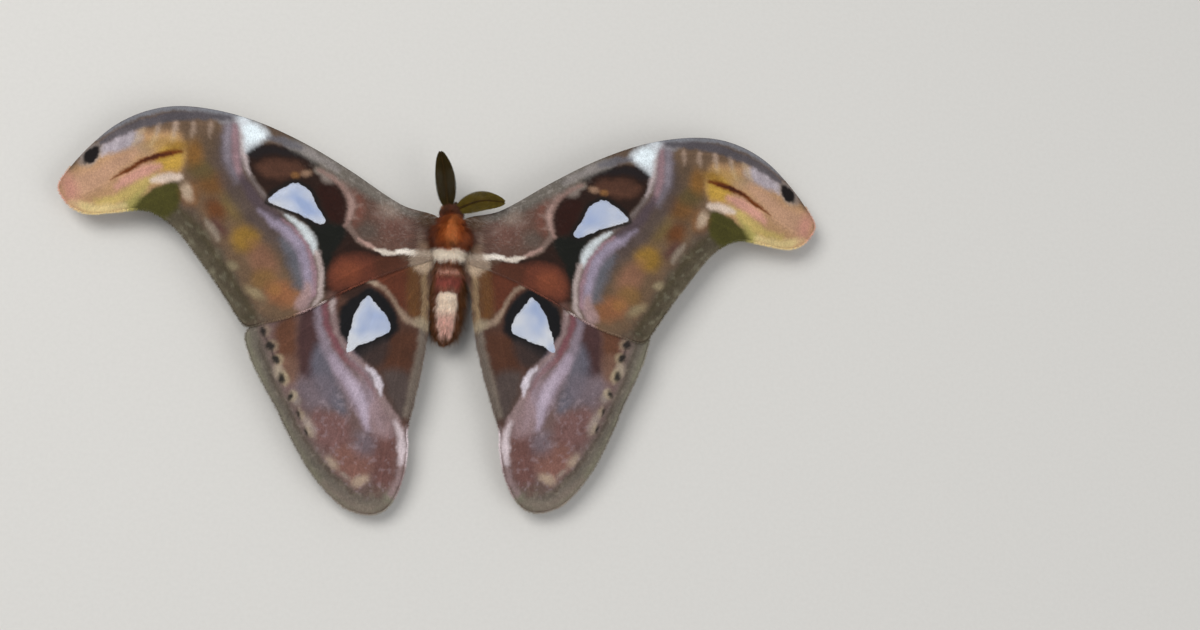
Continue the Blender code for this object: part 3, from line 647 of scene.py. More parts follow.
for side_name, side in SIDES:
    root = ANTENNA_ROOT * (side, 1, 1) + PLACE
    tip = np.array(ANTENNA_TIPS[side_name]) + PLACE
    fine = smooth_line([root, (root + tip) / 2 + ANTENNA_BOW, tip], np.linalg.norm(tip - root) / 240)
    share = np.linspace(0, 1, len(fine))
    knots = 1 + 0.16 * np.cos(share * ANTENNA_JOINTS * 2 * math.pi)
    radii = (SHAFT_RADIUS - SHAFT_TAPER * share) * knots * np.sqrt(np.clip((1.004 - share) * 60, 0, 1))
    parts = [tube_parts(tube_grid(fine, radii, 10))]
    colour_rows = [np.tile(linear(SHAFT_TONE), (len(parts[0][0]), 1))]
    along = unit(np.gradient(fine, axis=0))
    across = unit(np.cross(along, (0.0, 0.0, 1.0)))
    upward = np.cross(across, along)
    hair_roots, hair_lie, hair_normals, hair_places = [], [], [], []
    for joint in range(1, ANTENNA_JOINTS):
        for pair, lean in enumerate(RAY_LEANS):
            where = (joint + 0.42 * pair) / ANTENNA_JOINTS
            at = min(int(where * (len(fine) - 1)), len(fine) - 1)
            reach = ANTENNA_WIDTH / 2 * math.sin(math.pi * min(where, 1.0) ** 0.75) ** 0.6
            for flank in (-1, 1):
                out = np.linspace(0, 1, RAY_POINTS)[:, None]
                curl = lean + 0.30 * out
                aim = across[at] * flank * np.cos(curl) + along[at] * np.sin(curl)
                droop = upward[at] * (0.10 + 0.10 * pair - 0.42 * out)
                steps = unit(aim + droop) * reach / (RAY_POINTS - 1)
                ray = fine[at] + np.cumsum(steps, axis=0) - steps[0]
                taper = RAY_RADIUS * (1 - 0.7 * out[:, 0])
                parts.append(tube_parts(tube_grid(ray, taper, 3)))
                # Painted light and shade along each feather: the right one lighter at its root, the left one
                # lighter at its tip
                painted_light_and_shade = 1.35 - 0.4 * where if side > 0 else 0.75 + 0.4 * where
                tone = linear(RAY_SHADED_AND_LIT_TONES[side_name]) * painted_light_and_shade * (1 - 0.25 * pair)
                colour_rows.append(np.tile(tone, (len(parts[-1][0]), 1)))
                spots = np.linspace(0.0, RAY_POINTS - 1.001, HAIRS_PER_RAY)
                cell = spots.astype(int)
                next_on_ray = ray[np.minimum(cell + 1, RAY_POINTS - 1)]
                on_ray = ray[cell] + (next_on_ray - ray[cell]) * (spots - cell)[:, None]
                tangent = unit(steps[cell])
                for edge in (-1, 1):
                    hair_roots.append(on_ray)
                    hair_lie.append(tangent * 0.75 + edge * unit(np.cross(tangent, upward[at])))
                    hair_normals.append(np.tile(upward[at], (HAIRS_PER_RAY, 1)))
                    hair_places.append(np.column_stack([
                        np.full(HAIRS_PER_RAY, where), 0.5 + 0.45 * flank * spots / RAY_POINTS]))
    antenna = new_piece(f"feather_antenna_{side_name}", *joined(parts))
    give_colours(antenna, "markings", np.vstack(colour_rows))
    antenna.data.materials.append(feeler)
    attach(antenna, "root")
    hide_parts(f"antenna_{side_name}")
    roots = np.vstack(hair_roots)
    scent_hairs = tufts(
        f"antenna_hairs_{side_name}", roots, unit(np.vstack(hair_normals)), np.vstack(hair_lie),
        SCENT_HAIR_LENGTH * rng.uniform(0.7, 1.2, len(roots)), SCENT_HAIR_WIDTH, 0.05,
        np.tile(linear(SCENT_HAIR_SHADED_AND_LIT_TONES[side_name]), (len(roots), 1)), np.vstack(hair_places),
        root_painted_shade=0.8,
    )
    scent_hairs.data.materials.append(feeler)
    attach(scent_hairs, "root")


# The legs: six legs of chitin tubes, each with a thigh, a shin and a foot of five short joints that ends
# in two hooked claws. Thigh and shin are furred to the knuckles, and the feet stand flat on the floor.

FOOT_HEIGHT = 0.0003
LEGS = {
    "fore": ((0.0019, 0.0070, 0.0065), (0.0070, 0.0104, 0.0066), (0.0094, 0.0116, 0.0016),
             (0.0108, 0.0119, FOOT_HEIGHT), (0.0138, 0.0121, FOOT_HEIGHT)),
    "mid": ((0.0023, 0.0040, 0.0060), (0.0094, 0.0040, 0.0066), (0.0140, 0.0014, 0.0016),
            (0.0152, 0.0004, FOOT_HEIGHT), (0.0180, -0.0028, FOOT_HEIGHT)),
    "hind": ((0.0022, 0.0012, 0.0060), (0.0082, -0.0060, 0.0062), (0.0112, -0.0152, 0.0016),
             (0.0118, -0.0172, FOOT_HEIGHT), (0.0126, -0.0214, FOOT_HEIGHT)),
}
LEG_RADII = (0.0008, 0.00065, 0.0004, 0.00034, 0.00028)
FOOT_JOINTS = 5
LEG_TUFTS = 3000
CLAW_LENGTH = 0.0007
CLAW_RADIUS = 0.00009

for side_name, side in SIDES:
    leg_grids = []
    for leg_name, joints in LEGS.items():
        knots = np.array([(*joint, radius) for joint, radius in zip(joints, LEG_RADII)])
        knots[:, 0] *= side
        line = smooth_line(knots, 0.00012)
        path = line[:, :3] + PLACE
        run = np.linspace(0, 1, len(line))
        nearest = [np.argmin(np.linalg.norm(line[:, :3] - knot[:3], axis=1)) for knot in knots]
        knee, ankle, heel = (run[k] for k in nearest[1:4])
        knuckles = 1 - 0.22 * bell(run, ankle, 0.012) - 0.16 * bell(run, knee, 0.008)
        foot_share = np.clip((run - heel * 0.5 - ankle * 0.5) / (1 - heel * 0.5 - ankle * 0.5), 0, 1)
        rings_of_foot = 1 + 0.20 * (np.mod(foot_share * FOOT_JOINTS, 1.0) - 0.5) * (foot_share > 0)
        radii = line[:, 3] * knuckles * rings_of_foot * np.sqrt(np.clip((1.004 - run) * 60, 0, 1))
        path[:, 2] = np.maximum(path[:, 2], radii * 0.9)
        grid = tube_grid(path, radii, 16)
        grid[..., 2] = np.maximum(grid[..., 2], 0.0)
        leg_parts = [tube_parts(grid)]
        toe_aim = unit(path[-1] - path[-20])
        for spread in (-1, 1):
            flank = np.array([-toe_aim[1], toe_aim[0], 0]) * spread
            hook = np.linspace(0, 1, 9)[:, None]
            claw = path[-1] + toe_aim * CLAW_LENGTH * hook + flank * 0.0003 * np.sin(2.2 * hook)
            share = hook[:, 0]
            claw[:, 2] = path[-1, 2] + 0.0002 * np.sin(math.pi * share) - path[-1, 2] * 0.75 * share**2
            leg_parts.append(tube_parts(tube_grid(claw, CLAW_RADIUS * (1.02 - share), 6)))
        leg = new_piece(f"leg_skin_{leg_name}_{side_name}", *joined(leg_parts))
        leg.data.materials.append(horn)
        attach(leg, "root")
        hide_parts(f"leg_{leg_name}_{side_name}")
        furred = grid[(run > 0.03) & (run < heel + 0.02)]
        leg_grids.append(furred)
    limb_coat(f"leg_coat_{side_name}", leg_grids, LEG_TUFTS, (0.0010, 0.0004), 0.00007, math.radians(15),
              ("#6a3316", "#8a5a38"))


# The hindwings: a membrane about a tenth of a millimetre thick, stiffened by raised veins and covered on
# both faces by rows of dusty scales that carry the pattern. The scales leave out one clear pane.

HALF_SPAN = 0.106
TAIL_REACH = 0.0714
WING_ROOT_Z = 0.0094
WING_RISE = 0.0010
WING_DROOP = 0.0038
TAIL_DROOP = 0.0044
WING_THICKNESS = 0.00030
VEIN_RELIEF = 0.00013
VEIN_HALF_WIDTH = 0.0006
PLEAT = 0.00022
RIM_WIDTH = 0.0003
GRID_MARGIN = 0.00002
VEIN_STEP = 0.0012  # between the points that a vein or the hind edge is measured to
FIELD_STEP = 1.2  # the same in millimetres, for the markings' fields, lines and the clear pane
LINE_STEP = 1.0
PANE_STEP = 0.8
UNDERSIDE_TONE = "#8c6f62"
UNDERSIDE_SHARE = 0.30
HINDWING = dict(
    hinge=(0.0050, 0.0000), turn=math.radians(4.4), above=-0.0005, settle=0.0, up=-1, dark_rim=0.0,
    edge=((0.0030, 0.0020), (0.0150, -0.0005), (0.0280, -0.0050), (0.0410, -0.0115), (0.0505, -0.0173),
          (0.0556, -0.0218), (0.0548, -0.0275), (0.0524, -0.0334), (0.0474, -0.0430), (0.0447, -0.0490),
          (0.0386, -0.0600), (0.0315, -0.0682), (0.0265, -0.0709), (0.0220, -0.0714),
          (0.0184, -0.0697), (0.0156, -0.0655), (0.0136, -0.0595), (0.0128, -0.0535),
          (0.0128, -0.0490), (0.0110, -0.0420), (0.0088, -0.0330), (0.0071, -0.0245),
          (0.0062, -0.0170), (0.0058, -0.0090), (0.0030, -0.0030)),
    veins=(((0.0050, 0.0000), (0.0200, -0.0035), (0.0380, -0.0120), (0.0530, -0.0210)),
           ((0.0050, -0.0012), (0.0200, -0.0085), (0.0360, -0.0180), (0.0515, -0.0300)),
           ((0.0200, -0.0085), (0.0330, -0.0240), (0.0460, -0.0415)),
           ((0.0205, -0.0110), (0.0300, -0.0320), (0.0415, -0.0510)),
           ((0.0190, -0.0150), (0.0260, -0.0380), (0.0360, -0.0600)),
           ((0.0170, -0.0170), (0.0215, -0.0400), (0.0290, -0.0670)),
           ((0.0120, -0.0130), (0.0160, -0.0380), (0.0210, -0.0680)),
           ((0.0055, -0.0035), (0.0083, -0.0200), (0.0115, -0.0360), (0.0150, -0.0560)),
           ((0.0055, -0.0035), (0.0120, -0.0130), (0.0170, -0.0170), (0.0190, -0.0150),
            (0.0205, -0.0110), (0.0200, -0.0085))),
    window=((22.7, -11.9), (25.3, -14.9), (27.1, -19.3), (29.0, -27.6), (24.6, -25.5), (20.0, -23.4),
            (16.5, -21.0), (17.9, -17.8), (20.3, -14.3)),
)
HINDWING_GRID = (226, 126)  # rows from front to tail, columns from the inner edge to the outer


def wing_height(x, y):
    """Height of the spread wings: a slight rise from the body, then a droop to the tips and tails."""
    out = np.abs(x) / HALF_SPAN
    back = np.maximum(0.0, -y) / TAIL_REACH
    return WING_ROOT_Z + WING_RISE * np.sin(np.pi * out) - WING_DROOP * out**2 - TAIL_DROOP * back**2


def turned(points, wing, side):
    """Places on the right wing, mirrored for the left one and turned about the wing's hinge."""
    points = np.array(points, float) * (side, 1)
    hinge = np.array(wing["hinge"]) * (side, 1)
    c, s = math.cos(wing["turn"]), math.sin(wing["turn"])
    return hinge + (points - hinge) @ np.array([[c, s], [-s, c]])


def line_distance(points, line):
    """How far each point lies from a line of straight runs, and the nearest place as a share of the line."""
    start, run = line[:-1], np.diff(line, axis=0)
    square = (run**2).sum(1)
    nearest = np.full(len(points), np.inf)
    place = np.zeros(len(points))
    for index in range(len(run)):
        reach = points - start[index]
        share = np.clip(reach @ run[index] / square[index], 0, 1)
        gap = np.hypot(*(reach - share[:, None] * run[index]).T)
        closer = gap < nearest
        nearest[closer] = gap[closer]
        place[closer] = (index + share[closer]) / len(run)
    return nearest, place


def inside(points, edge):
    """True within a closed outline: it counts the outline's crossings of a ray along +x."""
    crossings = np.zeros(len(points), int)
    for (ax, ay), (bx, by) in zip(edge, np.roll(edge, -1, axis=0)):
        if ay == by:
            continue
        crosses = (ay > points[:, 1]) != (by > points[:, 1])
        crossings += crosses & (points[:, 0] < ax + (points[:, 1] - ay) * (bx - ax) / (by - ay))
    return crossings % 2 == 1


def depth_inside(points, outline, step):
    """Distance into a smooth closed outline: above zero inside it, below zero outside."""
    edge = smooth_line(outline, step, closed=True)
    gap, _ = line_distance(points, np.vstack([edge, edge[:1]]))
    return np.where(inside(points, edge), gap, -gap)


class Pattern:
    """Marking colours over flat wing places in millimetres, laid one over another like coats of powder."""

    def __init__(self, places, ground):
        """Places are drifted a little, so that every edge of a marking is as ragged as scales make it."""
        wander = np.column_stack([drift(places, 2.1, 11), drift(places, 2.1, 12)])
        ragged = np.column_stack([drift(places, 0.55, 13), drift(places, 0.55, 14)])
        self.places = places + 0.30 * wander + 0.22 * ragged
        self.colours = np.tile(linear(ground), (len(places), 1))

    def lay(self, mask, code):
        lay(self.colours, mask, code)

    def area(self, code, outline, soft=0.8, strength=1.0):
        """A field with a soft edge: full inside a smooth closed outline."""
        self.lay(strength * ease(depth_inside(self.places, outline, FIELD_STEP), -soft, soft), code)

    def line(self, code, path, width, soft=0.45, strength=1.0):
        """A band along a smooth path. Width is in millimetres, and may list widths along the path."""
        gap, place = line_distance(self.places, smooth_line(path, LINE_STEP))
        widths = np.atleast_1d(width)
        half = np.interp(place, np.linspace(0, 1, len(widths)), widths) / 2
        self.lay(strength * ease(half - gap, -soft, soft) * ease(half, 0.0, 0.2), code)

    def spot(self, code, at, size, turn=0.0, soft=0.3, strength=1.0):
        """An oval spot: two half sizes in millimetres and a turn in degrees."""
        c, s = math.cos(math.radians(turn)), math.sin(math.radians(turn))
        x, y = ((self.places - at) @ np.array([[c, -s], [s, c]])).T
        gap = np.hypot(x / size[0], y / size[1]) - 1
        self.lay(strength * ease(-gap * min(size), -soft, soft), code)

    def powder(self, code, reach, size, seed, strength):
        """Stray scales of another colour, where the reach mask allows them."""
        grains = ease(drift(self.places, size, seed), 0.25, 0.75)
        self.lay(strength * reach * grains, code)


def hindwing_pattern(places):
    """The hindwing's markings on flat base places in millimetres, from the border inwards to the body."""
    paint = Pattern(places, "#5a4a40")
    area, line, spot, powder = paint.area, paint.line, paint.spot, paint.powder
    # The mauve and rust fields between the white line and the border
    area("#6b5551", ((34, -12), (50, -17), (53, -24), (50, -34), (45, -44), (40, -54), (32, -62), (24, -67),
         (16, -67), (13, -58), (13.5, -48), (20, -40), (27, -31), (32, -22)), 2)
    area("#452e2d", ((35, -13), (41, -17), (42.4, -26), (41.6, -33), (37.6, -34.6), (34.8, -26)), 1.6)
    area("#5c3824", ((42.6, -17), (47.2, -19.4), (48, -25), (45.8, -33), (43.4, -35), (42.4, -29),
         (42.2, -22)), 1.6, 0.9)
    area("#785a4b", ((43.4, -28.6), (46.4, -29.4), (45.6, -34), (43.2, -36.4), (41.8, -33)), 1.6, 0.7)
    area("#5e5c66", ((33, -27), (36.6, -25), (38.6, -32), (35, -40), (30, -45), (28.6, -42), (31.6, -35)),
         1.8, 0.85)
    area("#6b6067", ((33.5, -34.5), (41, -34.6), (42.4, -38), (39.5, -42.6), (34.6, -42.5), (32, -39)), 2.4,
         0.75)
    area("#73524e", ((30, -45), (37.6, -43.6), (38.6, -49), (34.6, -54), (29.6, -53.5), (27.6, -49)), 1.8,
         0.85)
    area("#694741", ((16.6, -50), (21.6, -49.6), (23, -55.5), (21.6, -63), (17.6, -64), (15.8, -57)), 1.6,
         0.9)
    area("#7c554a", ((24.6, -54), (30.6, -53), (33, -57), (29.6, -62), (24, -61.6), (22.4, -58)), 1.6, 0.85)
    spot("#6b5f66", (24.4, -52.4), (3, 3.4), 20, 2.2, 0.7)
    spot("#5d4c42", (22, -65.6), (3.4, 2), 0, 1.2, 0.7)
    powder("#a59499", 1 - ease(places[:, 1], -40, -34), 0.9, 41, 0.22)
    powder("#5a3a33", 1 - ease(places[:, 1], -50, -44), 1.3, 43, 0.35)
    # Grey border, paler towards the outer edge, and the pale blotches inside it
    border = ((54.6, -20.5), (52.6, -27.5), (49.4, -36), (45.6, -44.5), (40.8, -53.5), (34.4, -62),
              (27.4, -67.6), (20.6, -68.6), (16.4, -66))
    line("#625a50", border, (4.2, 4.8, 4.6, 4.2, 4.2, 4, 3.8, 3, 2), 1.9)
    line("#75715f", np.array(border) + (1.5, -1.2), (1.6, 2.6, 2.6, 2.4, 2.2, 2, 1.6), 1.3, 0.85)
    line("#463b2f", ((52.4, -24), (51, -29), (47.9, -36), (44.2, -44), (39.6, -52.4), (33.6, -60.4),
         (27, -66.2)), (0.5, 0.9, 0.6, 0.9, 0.6, 0.9, 0.5), 0.6, 0.6)
    line("#78685f", ((35.6, -62.6), (30, -67.4), (24.6, -69.8), (19.4, -68.6)), (1.2, 2.4, 2.4, 1.2), 1.3,
         0.6)
    powder("#867c6d", bell(line_distance(places, np.array(border))[0], 0, 3.4), 0.9, 44, 0.28)
    spot("#a39480", (46.9, -32.6), (1.3, 2.2), -22, 0.8, 0.85)
    spot("#93867c", (42.9, -40), (1.2, 2), -22, 0.8, 0.7)
    spot("#a5968a", (39.1, -47.4), (1.2, 2.8), -22, 1, 0.7)
    spot("#a6937f", (33, -57.6), (1.2, 2.2), -42, 0.9, 0.7)
    spot("#ab957f", (25.6, -62.4), (2.2, 1.3), -24, 1, 0.8)
    spot("#94867a", (29.6, -61.2), (1.4, 0.8), 35, 0.6, 0.6)
    # Lilac streak and the pink line outside the white one
    line("#857780", ((36, -12), (36, -19), (34.2, -26), (31.2, -31.6)), (2.6, 2.2, 2.8, 3), 1.2, 0.9)
    line("#a0909d", ((32.4, -29.2), (29.6, -34), (26.6, -38.4), (24.7, -42.4), (23.4, -48)),
         (1.8, 3.8, 4.6, 4.2, 1.8), 1.4, 0.9)
    line("#b0a0ad", ((28.6, -34.4), (26.2, -38.6), (24.4, -42.6), (23.8, -46)), (1, 2.2, 2.6, 1.2), 1.1,
         0.8)
    area("#4b3228", ((3, 3), (16, 1), (30, -4), (35, -11), (33.6, -20), (30, -27), (22.4, -32.6),
         (18.6, -40), (14.4, -48), (11.5, -44), (8, -30), (5, -16), (3, -6)), 1)
    area("#743e2c", ((20, -4), (28, -4.6), (34.5, -9), (34, -14), (30.4, -11.4), (27, -8.8), (22, -8.4),
         (19, -8)), 1.4)
    area("#4c2d1e", ((10, -22), (17, -23), (19.6, -28), (16.6, -33.6), (13, -34), (10.2, -28)), 1.8, 0.85)
    area("#4c413d", ((12, -34), (19, -33), (18, -40), (14.5, -46), (12.4, -44)), 1.8, 0.9)
    area("#111012", ((14.4, -19.6), (17, -13.6), (20.6, -10.4), (23.6, -9.9), (27.2, -11.9), (30.1, -15.4),
         (31.1, -19), (30, -26), (27.6, -29.8), (22, -27.2), (16, -23.2)), 0.9)
    area("#2b1a14", ((22, -8.4), (27.4, -8.2), (30.6, -11.6), (27.4, -12.6), (24, -10.4)), 0.9, 0.8)
    area("#332a28", ((17.6, -24), (23, -26), (27.6, -29.4), (24, -31.6), (20, -31.4), (17.6, -28)), 1.5,
         0.8)
    # Postmedial line: white and pink, brightest at its two bends, with a wine-red line along its outer side
    wine = ((34.6, -11), (34.4, -17), (32.6, -23), (29.6, -28.6), (25.6, -32.4), (22.6, -36.6), (20.6, -41),
            (18.4, -45.5), (17.2, -50), (17, -54.5))
    line("#75494f", wine[:5], (1.2, 1.8, 1.9, 1.7, 1.2), 0.8, 0.9)
    line("#93818a", ((29.4, -25.4), (26.4, -30.4), (23.8, -34.2), (22.4, -38.6), (21.4, -43.6),
         (19.8, -48)), (0.8, 2.4, 2.6, 2.6, 2.6, 1.2), 1.2, 0.75)
    line("#7a5a5a", wine[3:7], (0.8, 1.3, 1.1, 0.4), 0.8, 0.75)
    area("#8f7778", ((21, -39), (23, -44), (21.6, -50), (17.4, -51), (16.6, -46.4), (18.8, -42)), 1.5, 0.75)
    inner = ((32.6, -10.5), (32.5, -16), (31.2, -22), (28.2, -27.6), (24.4, -31), (21.4, -33.8),
             (20.1, -38), (18.6, -42.3), (15.7, -46.3), (14.5, -51), (14.3, -56), (15.0, -61), (17.2, -66.4))
    line("#8a7472", inner, (1.8, 1.5, 1.4, 1.5, 1.9, 1.4, 1.3), 0.8, 0.95)
    line("#a89894", ((32.6, -10.8), (32.6, -14), (32.4, -17)), (1, 1.5, 0.6), 0.6, 0.9)
    line("#c4bac0", ((23.4, -31.9), (21.3, -34), (20, -37.4), (19.6, -39.4)), (0.7, 1.9, 2, 0.6), 0.55)
    line("#cabbbd", ((16.2, -46.4), (14.8, -49.8), (14.1, -54), (14.5, -58.2)), (0.5, 1.9, 2.6, 0.8), 0.9,
         0.85)
    # Brown fields of the base, the beige inner edge and the antemedial line
    area("#6a4420", ((8, -2), (12.5, -3), (12.6, -10), (11.6, -17), (8.4, -17.6)), 1.6, 0.85)
    area("#5a2d1c", ((12, -3), (18.6, -3), (20.6, -8), (16, -13), (12.6, -16.4)), 1.6, 0.9)
    line("#8d7765", ((7.6, -20), (11.2, -19.3), (13.6, -17), (16.1, -12.6), (18.9, -9.4), (22.2, -7.6)),
         (1.9, 1.8, 1.1, 1, 1.5), 0.7, 0.95)
    line("#9d8975", ((20.6, -8.6), (22.6, -7.6)), (1, 1.3), 0.6, 0.8)
    line("#8a7254", ((6.6, 0), (6.9, -8), (7.2, -15), (7.6, -20.5)), (1.6, 1.2, 1.5), 0.6)
    line("#6f6459", ((7.8, -20.5), (8.6, -27), (10.4, -35), (12.8, -45)), (1.6, 2.2, 2.6, 1.4), 1, 0.9)
    spot("#8f8069", (8, -19.4), (2.3, 1.4), 10, 0.8, 0.9)
    area("#b5a088", ((4, 1.5), (10.6, 0.4), (10.4, -2.6), (8.4, -4), (6.9, -4.6), (5.4, -3.4)), 1.1)
    # The black spots of the border, uneven and partly rimmed with beige on their inner side
    for x, y, wide, tall, turn, rim in ((51.0, -21.4, 0.8, 1.4, -15, 0.3), (49.5, -25.6, 1.3, 1.1, 30, 0.4),
                                        (47.8, -29.4, 1.0, 1.0, -40, 0.6), (46.3, -34.4, 0.8, 1.5, -10, 0.8),
                                        (44.2, -39.4, 0.8, 1.1, 20, 0.6), (42.0, -44.4, 0.5, 1.2, -25, 0.5),
                                        (40.0, -49.0, 0.5, 1.1, -25, 0.4)):
        spot("#a39276", (x - 0.7, y + 0.1), (wide + 0.4, tall + 0.4), turn, 0.6, rim)
        spot("#1b1817", (x, y), (wide, tall), turn, 0.45, 0.95)
    line("#2a2420", ((50.8, -22), (49.6, -25.8), (47.6, -30)), (0.4, 0.7, 0.4), 0.4, 0.7)
    return paint


def wing_grid(wing, rows, columns, by_x):
    """Flat base places of a wing: straight rules between its two long edges, at equal x or at equal y.

    Returns a grid whose rows step along the ruled axis, and columns from one edge to the other.
    """
    axis, across = (0, 1) if by_x else (1, 0)
    edge = smooth_line(wing["edge"], 0.0003, closed=True)
    low, high = np.argmin(edge[:, axis]), np.argmax(edge[:, axis])
    edge, middle = np.roll(edge, -min(low, high), axis=0), abs(high - low)
    sides = []
    for run in (edge[:middle + 1], np.vstack([edge[middle:], edge[:1]])):
        run = run if run[0, axis] < run[-1, axis] else run[::-1]
        sides.append((np.maximum.accumulate(run[:, axis]), run[:, across]))
    share = np.linspace(0, 1, rows)
    bounds = edge[:, axis].min() + GRID_MARGIN, edge[:, axis].max() - GRID_MARGIN
    crowd = 0.5 * (share + (1 - np.cos(math.pi * share)) / 2)
    place = bounds[0] + (bounds[1] - bounds[0]) * crowd
    one, two = (np.interp(place, *run) for run in sides)
    low, high = np.minimum(one, two)[:, None], np.maximum(one, two)[:, None]
    other = low + (high - low) * np.linspace(0, 1, columns)
    place = np.broadcast_to(place[:, None], other.shape)
    return np.stack([place, other] if by_x else [other, place], -1)


def settled(wing, flat):
    """How far a wing sinks towards its hind edge, where it rests on the wing below."""
    hind = smooth_line(np.array(wing["edge"])[-8:], VEIN_STEP)
    return wing["settle"] * ease(line_distance(flat, hind)[0], 0.0050, 0.0)


def wing_surface(wing, flat, side):
    """Middle heights and half thickness of a wing at flat base places.

    The middle follows the wings' common curve, with a shallow trough between veins. The half thickness is
    that of the membrane, plus the vein's rounded ridge, and thins out to nothing at the wing's edge.
    """
    gaps = [line_distance(flat, smooth_line(vein, VEIN_STEP))[0] for vein in wing["veins"]]
    near = np.min(gaps, axis=0)
    edge = smooth_line(wing["edge"], 0.0006, closed=True)
    rim, _ = line_distance(flat, np.vstack([edge, edge[:1]]))
    place = turned(flat, wing, side)
    trough = -PLEAT * (1 - bell(near, 0, 0.0028)) * ease(rim, 0.0, 0.004)
    sway = 0.00016 * drift(flat, 0.013, 21) * ease(np.abs(flat[:, 0]), 0.008, 0.02)
    middle = wing_height(place[:, 0], place[:, 1]) + wing["above"] + trough + sway - settled(wing, flat)
    ridge = VEIN_RELIEF * (1 - np.clip(near / VEIN_HALF_WIDTH, 0, 1) ** 2) * ease(rim, 0.0, 0.006)
    ridge = ridge * (1 - 0.85 * ease(depth_inside(flat * 1000, wing["window"], PANE_STEP), -0.2, 0.5))
    half = (WING_THICKNESS / 2 + ridge) * np.sqrt(np.clip(rim / RIM_WIDTH, 0, 1))
    return place, middle, half, near


def build_wing(name, wing, side, grid, colours, window, vein):
    """One closed wing: an upper and a lower sheet of the same grid that share the points of its outline."""
    rows, columns = grid.shape[:2]
    flat = grid.reshape(-1, 2)
    place, middle, half, _ = wing_surface(wing, flat, side)
    outline = np.zeros((rows, columns), bool)
    outline[[0, -1]] = outline[:, [0, -1]] = True
    outline = outline.ravel()
    half = np.where(outline, 0, half)
    top = np.column_stack([place, middle + half]) + PLACE
    low = (np.column_stack([place, middle - half]) + PLACE)[~outline]
    number = np.arange(len(flat))
    below = number.copy()
    below[~outline] = len(flat) + np.arange(len(low))
    upper = sheet_faces(rows, columns)
    lower = below[upper][:, ::-1]
    if wing["up"] * side > 0:
        upper, lower = upper[:, ::-1], lower[:, ::-1]
    piece = new_piece(name, np.vstack([top, low]), upper, lower)
    under = colours + UNDERSIDE_SHARE * (linear(UNDERSIDE_TONE) - colours)
    give_colours(piece, "markings", np.vstack([colours, under[~outline]]))
    for label, values in (("window", window), ("vein", vein)):
        layer = piece.data.attributes.new(label, "FLOAT", "POINT")
        layer.data.foreach_set("value", np.concatenate([values, values[~outline]]).astype(np.float32))
    return piece


# Wing scales on membrane: powdery and almost without gloss, in rows that catch the light. Real scales are
# 0.1 mm wide and their rows as far apart, and both are drawn 0.22 mm so that they show. The clear pane
# has no scales: it is a thin film that lets light through and shines, and its white to pale blue colour
# is a painted reflection of a bright sky.
scales, tree, shader = new_finish("wing_scales", IOR=1.4, Specular_IOR_Level=0.3)
places = add(tree, "TexCoord").outputs["Object"]
colour = add(tree, "Attribute", attribute_name="markings").outputs["Color"]
row_map = add(tree, "Mapping",
              {"Vector": places, "Rotation": (0, 0, math.radians(35)), "Scale": (1, 0.62, 1)})
cells = add(tree, "TexVoronoi", {"Vector": row_map.outputs[0], "Scale": 4500.0, "Randomness": 0.7})
dust = add(tree, "TexNoise", {"Vector": places, "Scale": 1700.0, "Detail": 5.0, "Roughness": 0.7})
clouds = add(tree, "TexNoise", {"Vector": places, "Scale": 210.0, "Detail": 3.0})
tone = add(tree, "SeparateColor", {"Color": cells.outputs["Color"]}).outputs[0]
shades = [add(tree, "MapRange", {"Value": source, 1: low, 2: high, 3: dark, 4: light}).outputs[0]
          for source, low, high, dark, light in (
              (tone, 0.0, 1.0, 0.87, 1.13), (dust.outputs["Fac"], 0.3, 0.7, 0.88, 1.12),
              (clouds.outputs["Fac"], 0.3, 0.7, 0.88, 1.12))]
shade = add(tree, "Math", {0: shades[0], 1: shades[1]}, operation="MULTIPLY").outputs[0]
shade = add(tree, "Math", {0: shade, 1: shades[2]}, operation="MULTIPLY").outputs[0]
powder = add(tree, "VectorMath", {0: colour, "Scale": shade}, operation="SCALE").outputs[0]
pane = add(tree, "Attribute", attribute_name="window").outputs["Fac"]
clear = add(tree, "MapRange", {"Value": pane, 1: -0.05, 2: 0.25, 3: 0.0, 4: 1.0}).outputs[0]
# The pane's painted sky reflection: white, and bluer towards its middle and in soft patches
swirl = add(tree, "TexNoise", {"Vector": places, "Scale": 130.0, "Detail": 1.0, "Distortion": 0.4})
swirl = add(tree, "MapRange", {"Value": swirl.outputs["Fac"], 1: 0.3, 2: 0.7, 3: 0.20, 4: 0.85}).outputs[0]
deep = add(tree, "MapRange", {"Value": pane, 1: 0.0, 2: 3.4, 3: 0.0, 4: 0.20}).outputs[0]
deep = add(tree, "Math", {0: deep, 1: swirl}, operation="ADD").outputs[0]
pane_painted_reflection = add(tree, "ValToRGB", {"Fac": deep})
for stop, place, code in zip(pane_painted_reflection.color_ramp.elements, (0.25, 1.0), ("#f5f7fc", "#bccdf0")):
    stop.position = place
    stop.color = (*linear(code), 1)
pane_painted_reflection = pane_painted_reflection.outputs["Color"]
skin_mix = add(tree, "Mix", {0: clear, 6: powder, 7: pane_painted_reflection}, data_type="RGBA").outputs[2]
tree.links.new(skin_mix, shader.inputs["Base Color"])
gloss = add(tree, "MapRange", {"Value": clear, 3: 0.85, 4: 0.25}).outputs[0]
tree.links.new(gloss, shader.inputs["Roughness"])
glass = add(tree, "MapRange", {"Value": clear, 3: 0.0, 4: 0.45}).outputs[0]
tree.links.new(glass, shader.inputs["Transmission Weight"])
height = add(tree, "Math", {0: cells.outputs["Distance"], 1: dust.outputs["Fac"]}, operation="ADD")
solid = add(tree, "Math", {0: 1.0, 1: clear}, operation="SUBTRACT")
height = add(tree, "Math", {0: height.outputs[0], 1: solid.outputs[0]}, operation="MULTIPLY")
relief = add(tree, "Bump", {"Height": height.outputs[0], "Strength": 0.35, "Distance": 0.00008})
tree.links.new(relief.outputs[0], shader.inputs["Normal"])


